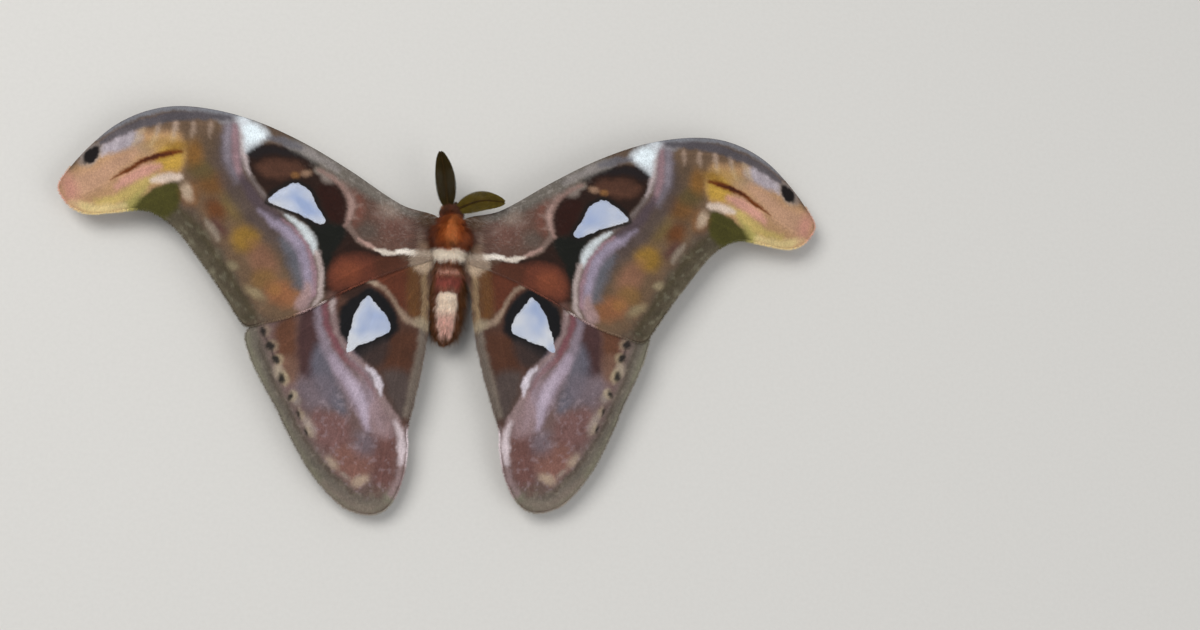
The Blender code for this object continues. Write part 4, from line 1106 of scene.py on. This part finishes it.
def scaled_wings(kind, wing, grid_size, by_x, pattern):
    """Both wings of a kind from one grid and one pattern, with veins a little paler. Returns those two."""
    grid = wing_grid(wing, *grid_size, by_x)
    flat = grid.reshape(-1, 2)
    paint = pattern(flat * 1000)
    window = depth_inside(paint.places, wing["window"], PANE_STEP)
    vein = wing_surface(wing, flat, 1)[3]
    paint.lay(wing["dark_rim"] * bell(window, -0.45, 0.6), "#151210")
    paint.colours *= 1 + 0.12 * bell(vein, 0, 0.00035)[:, None]
    for side_name, side in SIDES:
        piece = build_wing(f"{kind}_scaled_{side_name}", wing, side, grid, paint.colours, window, vein)
        piece.data.materials.append(scales)
        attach(piece, "root")
        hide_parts(f"{kind}_{side_name}")
    return grid, paint


hind_grid, hind_paint = scaled_wings("hindwing", HINDWING, HINDWING_GRID, False, hindwing_pattern)


# The forewings: the same membrane, veins and scales, over the hindwings, with a heavier front edge and the
# hooked tip whose markings look like a snake's head. Their clear pane is a bent triangle.

FOREWING = dict(
    hinge=(0.0050, 0.0060), turn=math.radians(1.6), above=0.0005, settle=0.0005, up=1, dark_rim=0.95,
    edge=((0.0030, 0.0096), (0.0140, 0.0133), (0.0280, 0.0220), (0.0400, 0.0288), (0.0520, 0.0341),
          (0.0640, 0.0374), (0.0750, 0.0384), (0.0840, 0.0367), (0.0920, 0.0326), (0.0985, 0.0265),
          (0.1035, 0.0202), (0.1063, 0.0152), (0.1054, 0.0120), (0.1025, 0.0088), (0.0980, 0.0072),
          (0.0910, 0.0079), (0.0840, 0.0087), (0.0790, 0.0070), (0.0740, 0.0030), (0.0675, -0.0052),
          (0.0615, -0.0135), (0.0572, -0.0200), (0.0546, -0.0225), (0.0495, -0.0213),
          (0.0430, -0.0193), (0.0365, -0.0163), (0.0290, -0.0118), (0.0218, -0.0082),
          (0.0136, -0.0047), (0.0030, -0.0006)),
    veins=(((0.0050, 0.0080), (0.0200, 0.0152), (0.0380, 0.0245), (0.0500, 0.0293), (0.0640, 0.0328),
            (0.0800, 0.0332), (0.0900, 0.0300)),
           ((0.0380, 0.0245), (0.0520, 0.0243), (0.0680, 0.0242), (0.0840, 0.0204), (0.1010, 0.0120)),
           ((0.0425, 0.0205), (0.0560, 0.0188), (0.0700, 0.0158), (0.0830, 0.0108)),
           ((0.0430, 0.0150), (0.0580, 0.0094), (0.0700, 0.0010)),
           ((0.0415, 0.0098), (0.0540, 0.0016), (0.0640, -0.0075)),
           ((0.0370, 0.0046), (0.0485, -0.0055), (0.0585, -0.0150)),
           ((0.0260, 0.0030), (0.0400, -0.0080), (0.0525, -0.0195)),
           ((0.0050, 0.0020), (0.0200, -0.0030), (0.0350, -0.0115), (0.0470, -0.0190)),
           ((0.0050, 0.0045), (0.0260, 0.0030), (0.0370, 0.0046), (0.0415, 0.0098), (0.0430, 0.0150),
            (0.0425, 0.0205), (0.0380, 0.0245))),
    window=((34.4, 7.3), (36.6, 11.0), (39.0, 15.6), (42.2, 17.8), (45.4, 17.0), (48.2, 15.0),
            (50.4, 13.0), (49.4, 11.6), (46.0, 10.6), (42.4, 9.2), (38.6, 7.4), (36.0, 6.4)),
)
FOREWING_GRID = (296, 146)  # rows from body to tip, columns from the hind edge to the front


def forewing_pattern(places):
    """The forewing's markings on flat base places in millimetres, from the outer field to the body."""
    paint = Pattern(places, "#5a493c")
    area, line, spot, powder = paint.area, paint.line, paint.spot, paint.powder
    # Outer field: olive, ochre and rust scales between the lilac band and the border
    area("#66503c", ((64, 36), (76, 34), (80, 24), (74, 16), (68, 7), (60, -5), (52, -18), (44, -21),
         (40, -18), (44, -9), (50, 0), (56, 9), (61, 17), (63, 26)), 1.8)
    area("#564536", ((61, 33), (66, 33), (69, 29), (68, 22), (63, 15), (60, 16), (62, 24)), 1.8, 0.85)
    spot("#6a4826", (65.2, 16.6), (4.8, 3.2), 0, 2, 0.95)
    spot("#57492a", (69, 20.6), (3.6, 2.6), 20, 1.8, 0.85)
    spot("#7a5426", (71.2, 25), (2.8, 3.6), 0, 1.8, 0.9)
    spot("#6b5733", (59.4, 10.6), (3.2, 4.4), -35, 2, 0.9)
    spot("#643a1c", (64.4, 9.2), (2.2, 3.2), -40, 1.5, 0.9)
    spot("#53342f", (63.4, 4.2), (1.5, 3), -40, 1.1, 0.8)
    spot("#87662a", (56, 1.4), (3.8, 3.8), 20, 1.9, 0.95)
    spot("#815a45", (51.2, -4.4), (3.2, 5.2), -30, 2, 0.85)
    spot("#7b5b33", (50.6, -9.6), (3.2, 2.8), 0, 1.6, 0.8)
    spot("#8a5a3b", (45.4, -13.6), (4.6, 3.2), 20, 1.9, 0.95)
    spot("#8e6437", (47.6, -12.4), (1.8, 1.4), 0, 1, 0.6)
    spot("#8b7a5c", (53, -13.4), (2.8, 1.3), 28, 0.9, 0.85)
    # Border: grey-olive, darker along its inner side and paler at the edge
    border = ((78, 9), (74.4, 6.4), (70.4, 2.6), (66.4, -3), (62.2, -9.2), (58.2, -15.2), (54.6, -20.4))
    line("#4c4334", border, (4, 6, 6.6, 6.6, 6.4, 6.2, 5), 1.7)
    line("#5e5645", np.array(border) + (1.3, -1.0), 1.6, 1, 0.6)
    line("#40371f", np.array(border) + (-1.6, 1.3), 1.2, 1.1, 0.45)
    powder("#7d7864", bell(line_distance(places, np.array(border))[0], 0, 3.6), 1.1, 42, 0.4)
    powder("#3b3524", bell(line_distance(places, np.array(border) + (0.8, -0.6))[0], 0, 3.6), 1.5, 45, 0.4)
    # Snake's head at the tip: orange and pink, yellow under the mouth, olive behind the chin
    area("#ad8762", ((74.4, 20), (74.2, 28.6), (76.8, 32.6), (84, 32.5), (92, 30), (99, 23), (106, 16),
         (105, 9), (98, 5.5), (90, 7), (84, 10), (79, 15.5)), 1.7)
    area("#a4814c", ((73.6, 24), (74.2, 28.4), (77, 29.8), (83, 28.6), (86, 25.8), (80, 24.8)), 1.8, 0.85)
    spot("#958070", (87.2, 27.2), (4.6, 2), 24, 1.7, 0.6)
    area("#b18c3a", ((74.1, 21), (74.2, 26.2), (77.5, 27), (80.8, 24.8), (81, 20.8), (77.4, 19.8)), 1.2,
         0.95)
    area("#433f17", ((74.4, 16.4), (78.4, 16.2), (82.4, 14.2), (86.4, 10.8), (87.4, 8.4), (83, 7),
         (78.4, 6.2), (75.4, 8.2), (74, 12)), 1)
    area("#9a9050", ((82.6, 15.8), (85, 14.8), (88.6, 11.6), (89.2, 9), (86.6, 8.8), (84.6, 12.2)), 1.1,
         0.9)
    line("#baa35f", ((80.6, 17.8), (84, 16.2), (88, 13.2), (92, 11), (96, 10.4)), (1.8, 2.4, 2.8, 2.4, 1.6),
         1.1, 0.85)
    line("#cab57e", ((88.6, 9.6), (93, 8.8), (98, 8.6), (102.4, 10.4)), (1.6, 2.4, 2.4, 1.6), 0.9, 0.85)
    line("#c5907f", ((80.4, 21), (84.6, 19.2), (88.6, 16.8), (91, 15)), (1.8, 3.2, 2.8, 1.4), 1.1, 0.95)
    line("#ccb7a6", ((74.8, 18.2), (78.2, 17.9), (81.6, 16.9)), (2.2, 2.6, 1.4), 0.8)
    area("#b48c72", ((86, 25), (92, 23.6), (97, 20), (101.5, 18.4), (104.5, 15.5), (103, 11.8), (98, 12.6),
         (93, 16.4)), 1.8, 0.85)
    spot("#b57f70", (103.4, 14), (2, 4.2), -20, 1.6, 0.8)
    # The ladder of pale bars along the snake's back, which runs into the lilac patch over its brow
    area("#65503f", ((63.6, 30), (63.6, 35), (76, 36), (86, 33.4), (85.4, 31), (78, 31), (70, 30.4)), 1.5,
         0.85)
    area("#9f9499", ((85, 29.6), (87.6, 31.2), (91.4, 29.6), (95.4, 26.8), (96, 24.4), (92.6, 24.2),
         (87.6, 26.6)), 1.3)
    for x, lean, pale in ((66.8, 0, 0.6), (71.5, 0.2, 0.7), (76.1, 0.5, 0.95), (80.8, 0.9, 0.9),
                          (84.8, 1.2, 0.55)):
        line("#c3a881", ((x + 0.3 * lean, 31.4), (x + lean, 29.2), (x + 2.0 * lean, 26.8)), (1.3, 1.5, 0.5),
             0.9, 0.55 * ease(x, 70, 78))
        line("#9f8877", ((x, 33.8), (x + 0.1 * lean, 32.2), (x + 0.6 * lean, 30.0)), (1.2, 1.5, 0.4), 0.7,
             pale)
    for x, y, lean in ((87.8, 30.8, 1.0), (91.2, 29.4, 1.2), (94.4, 27.0, 0.8)):
        line("#b7acb0", ((x, y), (x + 0.4 * lean, y - 1.8), (x + lean, y - 3.8)), (1, 1.5, 0.7), 0.6, 0.55)
    spot("#8f6a2a", (75.6, 27), (2.8, 1.4), -10, 0.9, 0.85)
    line("#642f09", ((74.2, 25.6), (77.2, 25), (81, 23.8), (85, 22), (88.6, 19.5), (92.6, 16.6)),
         (1, 1.8, 1.6, 1.5, 1.2, 0.3), 0.6)
    line("#33130a", ((77, 24.9), (81, 23.9), (85.4, 21.8)), (0.3, 0.9, 0.3), 0.35, 0.8)
    spot("#8f857f", (98.3, 23.6), (2.3, 4), 38, 0.8, 0.7)
    spot("#15100f", (98.3, 23.6), (1.6, 3), 38, 0.45)
    # Pale spots of the submarginal row
    spot("#7a5230", (71.6, 13.2), (2.6, 3.2), -20, 1.4, 0.7)
    spot("#ab957e", (72.3, 14), (1.5, 2.5), -18, 0.9)
    line("#87796a", ((66.8, 6.2), (65.2, 4), (63.2, 1.2)), (1, 2.2, 1.2), 0.9, 0.9)
    spot("#85775c", (59.2, -6.2), (1.5, 1.3), 0, 0.8, 0.9)
    # The band outside the white line: pink and mauve at the front, lilac and blue-grey below
    post = np.array(((57.8, 34.5), (57.8, 28.5), (57.3, 24), (55.6, 19.6), (52.8, 15.6), (49.4, 11.8),
                     (45, 8.8), (41, 5.8), (38.3, 2.4), (36.6, -1.5), (35.6, -6), (35.2, -10.5),
                     (35.7, -14), (37.2, -17.5)))
    out = np.array([(4.6, 0.4), (4.6, 0.2), (4.6, -0.6), (4.6, -2.2), (4.4, -3.2), (4.4, -3.4), (4.2, -3.6),
                    (4.2, -3.2), (4.6, -2.4), (4.8, -1.6), (4.8, -0.8), (4.6, 0.0), (4.2, 0.8), (4.0, 1.5)])
    line("#50433f", (post + 1.12 * out)[1:10], (4, 5.2, 4.6, 4.4, 5, 6, 5), 2, 0.85)
    line("#6d646b", (post + 0.7 * out)[:4], (4.6, 5.2, 5, 2.4), 1.3, 0.9)
    line("#8e7074", (post + 0.48 * out)[:4], (1.6, 2.4, 2.2, 1.2), 0.9, 0.85)
    line("#877d84", (post + 0.95 * out)[:3], (1.2, 1.8, 1), 0.9, 0.7)
    line("#4c3f44", (post + 0.45 * out)[3:7], (2.2, 3.6, 3.6, 2.6), 1.3, 0.9)
    line("#5f6068", (post + 1.30 * out)[7:12], (1.4, 3.2, 3.8, 3.4, 2.4), 1.7, 0.8)
    line("#95899a", (post + 0.74 * out)[5:], (0.4, 2.2, 3.2, 3.2, 3, 2.8, 2), 1.3, 0.9)
    line("#9b7c74", (post + 0.8 * out)[11:], (1.6, 3.4, 3.4), 1.2, 0.8)
    line("#997780", (post + 0.38 * out)[6:13], (0.4, 1, 1.2, 1.3, 1.3, 0.8), 0.7, 0.75)
    # Base of the wing: red-brown with grey scales, and the paler band along the front edge
    area("#5b4238", ((-1, -4), (-1, 12), (14, 16), (26, 23), (35, 26), (34, 20.5), (29, 16.5), (27, 11),
         (27.6, 6), (24, 1), (18, -0.5), (8, -0.6)), 0.9)
    spot("#6f4b42", (15.5, 6.4), (4.4, 3.4), 15, 2.8, 0.5)
    spot("#544a42", (23, 5.2), (3, 2.6), 0, 1.8, 0.7)
    line("#73463a", ((26.4, 7), (25.2, 11.4), (26.2, 15.6), (29, 19)), (1.2, 2.4, 2.4, 1.2), 1.6, 0.7)
    # Median field: black-brown over and under the pane, brick red towards the hind edge
    area("#27160f", ((28, 6), (28, 14), (31, 18.8), (36.5, 22), (38, 26.4), (46, 28), (53.5, 28.6),
         (56.8, 27), (56.4, 22), (54.2, 18.4), (50.8, 14.4), (46, 10.6), (41.6, 8), (38, 4), (35.6, -2),
         (34.3, -7), (34, -14), (33, -18), (16, -10), (14, -1.2), (20, -0.6), (25, 1.4)), 0.8)
    area("#4f3225", ((40.5, 20.6), (44.5, 19.4), (49, 18.6), (52.8, 20), (54, 22.6), (49, 24),
         (42.6, 23.4)), 1.4)
    area("#1c1718", ((36.8, 22.6), (42, 24.8), (50, 25.6), (55.8, 24.2), (56.6, 26.6), (52, 28), (44, 27.4),
         (38.4, 25.4)), 0.9, 0.9)
    area("#280f08", ((29.4, 8.4), (29.6, 13), (31.8, 16.8), (35.5, 18.2), (36.6, 15.2), (34.3, 9.8),
         (32.8, 7)), 1)
    area("#12130e", ((29.4, 6), (33.6, 6.8), (37, 6.2), (40.8, 8.4), (38.4, 4.6), (36.2, -0.2),
         (34.8, -5.4), (34.2, -11.4), (33.2, -7.4), (32.6, -2.4), (30, 1.6), (28.8, 4)), 0.9)
    area("#5f3122", ((19.6, -3.6), (24, -1.6), (28.6, -1.6), (32, -4), (33.4, -8.4), (31.4, -12),
         (26, -10.4), (20, -7.6)), 1.5)
    area("#4f2b1d", ((12, -1.8), (19, -1.8), (21, -4), (19.6, -7.2), (12, -4.6)), 1.3, 0.9)
    spot("#763e28", (28, -6.6), (3.4, 2.8), -20, 2.1, 0.85)
    spot("#74544a", (32.4, -13.8), (1.5, 1.5), -40, 1, 0.6)
    spot("#93735c", (40.2, 20.7), (1.4, 0.9), -15, 0.6, 0.85)
    spot("#855c34", (43.2, 19.9), (1.2, 0.8), 0, 0.6, 0.75)
    spot("#84776c", (37, 21.6), (1.3, 1), 20, 0.6, 0.8)
    spot("#8f8178", (34.8, 19.8), (2, 1.1), 35, 0.8, 0.75)
    # Antemedial line: a pink crescent at the pane's inner side, then a thin line back to the white dashes
    line("#7a655c", ((28.4, 6.6), (26.2, 3.4), (23.2, 1.4), (20, 0)), (1.6, 1.3, 1.2), 0.7, 0.85)
    line("#a8877c", ((25.6, 2.9), (23.2, 1.5), (20.8, 0.3)), (0.5, 1, 1), 0.5, 0.9)
    line("#876c63", ((29.1, 6.6), (28, 9.2), (27.7, 12.8), (29.2, 16.6), (32.4, 19.6), (36.6, 22)),
         (1.1, 1.9, 2.1, 1.7, 1.6, 1.1), 0.7)
    line("#a78a80", ((28.1, 8.4), (27.5, 12.2), (28.6, 15.6)), (0.5, 1.1, 0.5), 0.5, 0.7)
    for at, aim, size in (((26.6, 9), 200, 1.3), ((26.2, 12.2), 165, 1.9), ((27.2, 15.4), 140, 1.5),
                          ((29.4, 18.2), 125, 1.2)):
        bend = np.array([math.cos(math.radians(aim)), math.sin(math.radians(aim))])
        line("#84695f", (at, at + size * 0.5 * bend, at + size * bend), (1.2, 0.8, 0.3), 0.5, 0.8)
    for at, size, turn in (((12.4, 7.6), (2.2, 1.2), 25), ((19.4, 9.4), (2, 1), 40),
                           ((9.6, 9.6), (1.8, 0.9), 20)):
        spot("#836a60", at, size, turn, 1.2, 0.45)
    area("#94816f", ((2, 1), (6.4, 0.9), (9.8, 0.3), (10.8, -1.4), (10.4, -4.4), (2, -2)), 0.8, 0.9)
    line("#958474", ((7.4, 6.4), (7.9, 3.6), (7.6, 0.6)), (0.8, 1.2, 1), 0.7, 0.35)
    # Painted shade: the front of the wing's root, darkened where the body's shadow falls on it
    spot("#46321f", (5.4, 9.8), (4, 2.4), 14, 1.4, 0.85)
    spot("#8a7059", (5.6, 2.3), (2.4, 1.3), 0, 1.1, 0.7)
    line("#ab9a89", ((3.5, 0.2), (6.6, 0.1), (9.6, -0.1)), (2, 1.8, 1.3), 0.6, 0.95)
    line("#ddd3c6", ((9.4, -0.2), (12.2, 0.1), (14.8, -0.2)), (1.1, 1.9, 1.2), 0.5)
    line("#cbbeb0", ((15.6, -0.6), (18, -0.7), (20.6, 0.1)), (0.9, 1.7, 0.9), 0.5)
    # Postmedial line, white at the front edge and in its lower half, greyer between
    line("#6d625f", post[2:8], (1.1, 1.2, 1.2, 1.3, 1.4), 0.6, 0.85)
    line("#b2a2a0", post[:4], (2, 1.8, 1.5, 0.4), 0.7, 0.9)
    line("#c5cacb", post[6:10] + (0.3, -0.1), (0.6, 2, 2.4, 1.3), 0.7)
    line("#ab9a95", post[9:], (1.5, 1.6, 1.6, 1.1), 0.6, 0.95)
    line("#93959a", ((57, 36.2), (62.4, 37.2), (69, 37.9)), (2.4, 2.2, 0.6), 1, 0.8)
    line("#8b8789", ((60.4, 35.2), (62.8, 34.9), (65.6, 35.3)), (1.8, 2.4, 0.9), 1, 0.7)
    # Where the white line meets the front edge: its own white, brightened into a cold bluish-white painted
    # glare
    area("#c9ced1", ((50.4, 30.8), (52.8, 33.8), (55.8, 35.4), (60, 36.8), (59.4, 34.2), (57.8, 30.2),
         (57.2, 25.8), (55.4, 26.8), (53.4, 28.6)), 1.1, 0.9)
    area("#e4eef1", ((52.2, 30.8), (53.6, 33), (56, 34.2), (57.6, 33.2), (57.2, 30.6), (56.2, 28.4),
         (54.2, 29.2)), 1)
    # Front edge: grey and pink scales, a dark line and a pale one along the outer half
    line("#68635b", ((8.6, 10.8), (14, 12.4), (28, 20.6), (38, 26.2), (44, 28.8)), (1.6, 4.2, 5.6, 4.6, 3),
         1.4, 0.85)
    line("#8c8480", ((32, 22.4), (38.5, 26), (46, 29.4)), (1.2, 2.8, 1.4), 1.1, 0.8)
    spot("#8b7a6e", (17.2, 11.4), (2.8, 1.8), 28, 1.5, 0.7)
    line("#605d62", ((42, 27.9), (47, 29.6), (51, 30.6)), (1.4, 2.4, 1.2), 0.8, 0.85)
    line("#4f4b50", ((62, 35.6), (68, 35.9), (76, 35.4), (84, 33.4), (91, 30.2), (95.8, 27)),
         (1.4, 2.4, 2.4, 2.6, 2.6, 1.6), 0.7, 0.9)
    line("#77777c", ((60, 36.6), (68, 37.6), (76, 37.8), (84, 36.2), (91, 32.6), (97, 28.4)),
         (1.2, 1.7, 1.8, 1.6, 1.3, 1), 0.6, 0.9)
    front = line_distance(places, smooth_line(np.array(FOREWING["edge"][:8]) * 1000, LINE_STEP))[0]
    powder("#a29a92", bell(front, 0, 4.0) * (1 - ease(places[:, 0], 36, 46)), 0.5, 31, 0.35)
    powder("#8f8078", bell(places[:, 0], 16, 9) * ease(places[:, 1], 0, 3), 0.5, 32, 0.25)
    return paint


fore_grid, fore_paint = scaled_wings("forewing", FOREWING, FOREWING_GRID, True, forewing_pattern)


# The wings' own hair: shaggy hair over both wing roots, pale hair along the hindwing's inner edge, and a
# short fringe of blade-like scales along the outer edges. All grow from the wings' skin.

FRINGE_STEP = 0.000045
FRINGE_LENGTH = 0.0010
FRINGE_ROOT = 0.0004  # how far inside the outline the blades are rooted
FOREWING_FRINGE = (10, 30)  # from which to which point of the wing's outline
HINDWING_FRINGE = (4, 20)
ROOT_HAIRS = 3200
INNER_HAIRS = 2400
FRINGE_WIDTH = 0.00011
WING_HAIR_WIDTH = 0.00007
# How much the wings' hair is lightened over the wing's markings: painted light against the hairs' shade on
# one another
WING_HAIR_PAINTED_LIGHT = 1.25


def on_bake_map(places, whole):
    """Places on the bake map: flat wing places, scaled until the whole wing fits it with a small margin."""
    return (places - whole.min(0)) / (whole.max(0) - whole.min(0)).max() * 0.96 + 0.02


def wing_coat(name, wing, grid, paint, side, density, count, aim, length, lift):
    """Hairs over a wing's upper face, in the markings' colours, spread by a density on the wing's grid."""
    flat = grid.reshape(-1, 2)
    place, middle, half, _ = wing_surface(wing, flat, side)
    surface = (np.column_stack([place, middle + half]) + PLACE).reshape(grid.shape[:2] + (3,))
    row, column = scatter(surface, density, count, rng)
    roots = between(surface, row, column)
    base = between(grid, row, column)
    lie = np.array([aim[0] * side, aim[1], 0.0]) + rng.normal(0, 0.18, (count, 3))
    # The markings' colours, lightened by painted light against the shade the hairs cast on one another
    colours = between(paint.colours.reshape(grid.shape[:2] + (3,)), row, column) * WING_HAIR_PAINTED_LIGHT
    piece = tufts(
        name, roots, np.tile((0.0, 0.0, 1.0), (count, 1)), lie,
        length * rng.uniform(0.6, 1.3, count), WING_HAIR_WIDTH, lift * rng.uniform(0.5, 1.5, count),
        colours * rng.uniform(0.75, 1.3, (count, 1)), on_bake_map(base, flat),
        tip_painted_light=1.15, root_painted_shade=0.75,
    )
    piece.data.materials.append(hair)
    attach(piece, "root")


def fringe(name, wing, side, paint, first, last):
    """Blades along the outline between two of its given points, pointing out of the wing."""
    whole = np.array(wing["edge"])
    line = smooth_line(whole[first:last], FRINGE_STEP)
    along = unit(np.gradient(line, axis=0))
    outward = np.column_stack([-along[:, 1], along[:, 0]])
    line = line - outward * FRINGE_ROOT
    place = turned(line, wing, side)
    aim = turned(line + outward * 0.001, wing, side) - place
    height = wing_height(place[:, 0], place[:, 1]) + wing["above"] - settled(wing, line)
    count = len(line)
    roots = np.column_stack([place, height + rng.uniform(0.00002, 0.00016, count)]) + PLACE
    # The markings from just inside the edge, lightened by half: painted light against the shade of the thin
    # blades at the rim
    colours = 1.5 * paint(line * 1000 - outward * 1.0).colours
    lie = np.column_stack([aim, np.zeros(count)]) * 1000 + rng.normal(0, 0.22, (count, 3)) * (1, 1, 0.2)
    piece = tufts(
        name, roots, np.tile((0.0, 0.0, 1.0), (count, 1)), lie,
        FRINGE_LENGTH * rng.uniform(0.7, 1.15, count), FRINGE_WIDTH, rng.uniform(-0.12, 0.08, count),
        colours * rng.uniform(0.7, 1.15, (count, 1)), on_bake_map(line, whole),
        tip_painted_light=1.1, root_painted_shade=0.9,
    )
    piece.data.materials.append(hair)
    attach(piece, "root")


fore_x = fore_grid[..., 0] * 1000
hind_x, hind_y = np.moveaxis(hind_grid, -1, 0) * 1000
inner_edge = smooth_line(np.array(HINDWING["edge"][17:]) * 1000, LINE_STEP)
inner_gap = line_distance(hind_grid.reshape(-1, 2) * 1000, inner_edge)[0].reshape(hind_x.shape)
for side_name, side in SIDES:
    wing_coat(f"forewing_root_hair_{side_name}", FOREWING, fore_grid, fore_paint, side,
              ease(fore_x, 2.8, 4.0) * (1 - ease(fore_x, 6, 12)), ROOT_HAIRS, (1.0, -0.45),
              0.0016, math.radians(9))
    wing_coat(f"hindwing_root_hair_{side_name}", HINDWING, hind_grid, hind_paint, side,
              ease(hind_x, 3.6, 4.6) * (1 - ease(hind_x, 8, 13)) * ease(hind_y, -20, -5), ROOT_HAIRS,
              (0.30, -1.0), 0.0018, math.radians(9))
    wing_coat(f"hindwing_edge_hair_{side_name}", HINDWING, hind_grid, hind_paint, side,
              bell(inner_gap, 0, 0.8) * ease(hind_y, -46, -40), INNER_HAIRS, (-0.25, -1.0), 0.0014,
              math.radians(8))
    fringe(f"forewing_fringe_{side_name}", FOREWING, side, forewing_pattern, *FOREWING_FRINGE)
    fringe(f"hindwing_fringe_{side_name}", HINDWING, side, hindwing_pattern, *HINDWING_FRINGE)


# The studio: a plain pale board, two large soft lamps, and the camera at the photograph's angle, which
# looks down on the moth from behind its tail and a little to its left.

FLOOR_REACH = 3.0
board = speckled("matt_painted_board", 900.0, 3.0, ("#d3d0ca", "#d6d3cd"), Roughness=0.9)[0]
floor_corners = FLOOR_REACH * np.array([(-1, -1, 0), (1, -1, 0), (1, 1, 0), (-1, 1, 0)])
floor = new_piece("floor", floor_corners, np.array([(0, 1, 2, 3)]))
floor.data.materials.append(board)

world = bpy.data.worlds.new("soft_room")
world.use_nodes = True
world.node_tree.nodes["Background"].inputs["Color"].default_value = (*linear("#e8ecf2"), 1)
world.node_tree.nodes["Background"].inputs["Strength"].default_value = 0.45
bpy.context.scene.world = world
LAMPS = (("key", (-0.55, 0.35, 0.95), 0.7, 9.0), ("fill", (0.75, -0.45, 0.85), 0.9, 4.0))
for name, at, size, power in LAMPS:
    lamp = bpy.data.lights.new(name, "AREA")
    lamp.size = size
    lamp.energy = power
    lamp_object = bpy.data.objects.new(name, lamp)
    lamp_object.location = at
    aim = -np.array(at)
    lamp_object.rotation_euler = (math.acos(-aim[2] / np.linalg.norm(aim)), 0, math.atan2(-aim[0], aim[1]))
    bpy.context.scene.collection.objects.link(lamp_object)
bpy.context.scene.view_settings.view_transform = "Standard"

CAMERA_PLACE = (-0.04763, -0.10615, 0.52263)
CAMERA_TURN = (11.379, -10.445, 1.951)
CAMERA_LENS = 56.96
camera_data = bpy.data.cameras.new("photo_camera")
camera_data.lens = CAMERA_LENS
camera_data.sensor_width = 36.0
camera_data.clip_start = 0.01
camera = bpy.data.objects.new("photo_camera", camera_data)
camera.location = CAMERA_PLACE
camera.rotation_euler = [math.radians(turn) for turn in CAMERA_TURN]
bpy.context.scene.collection.objects.link(camera)
bpy.context.scene.camera = camera
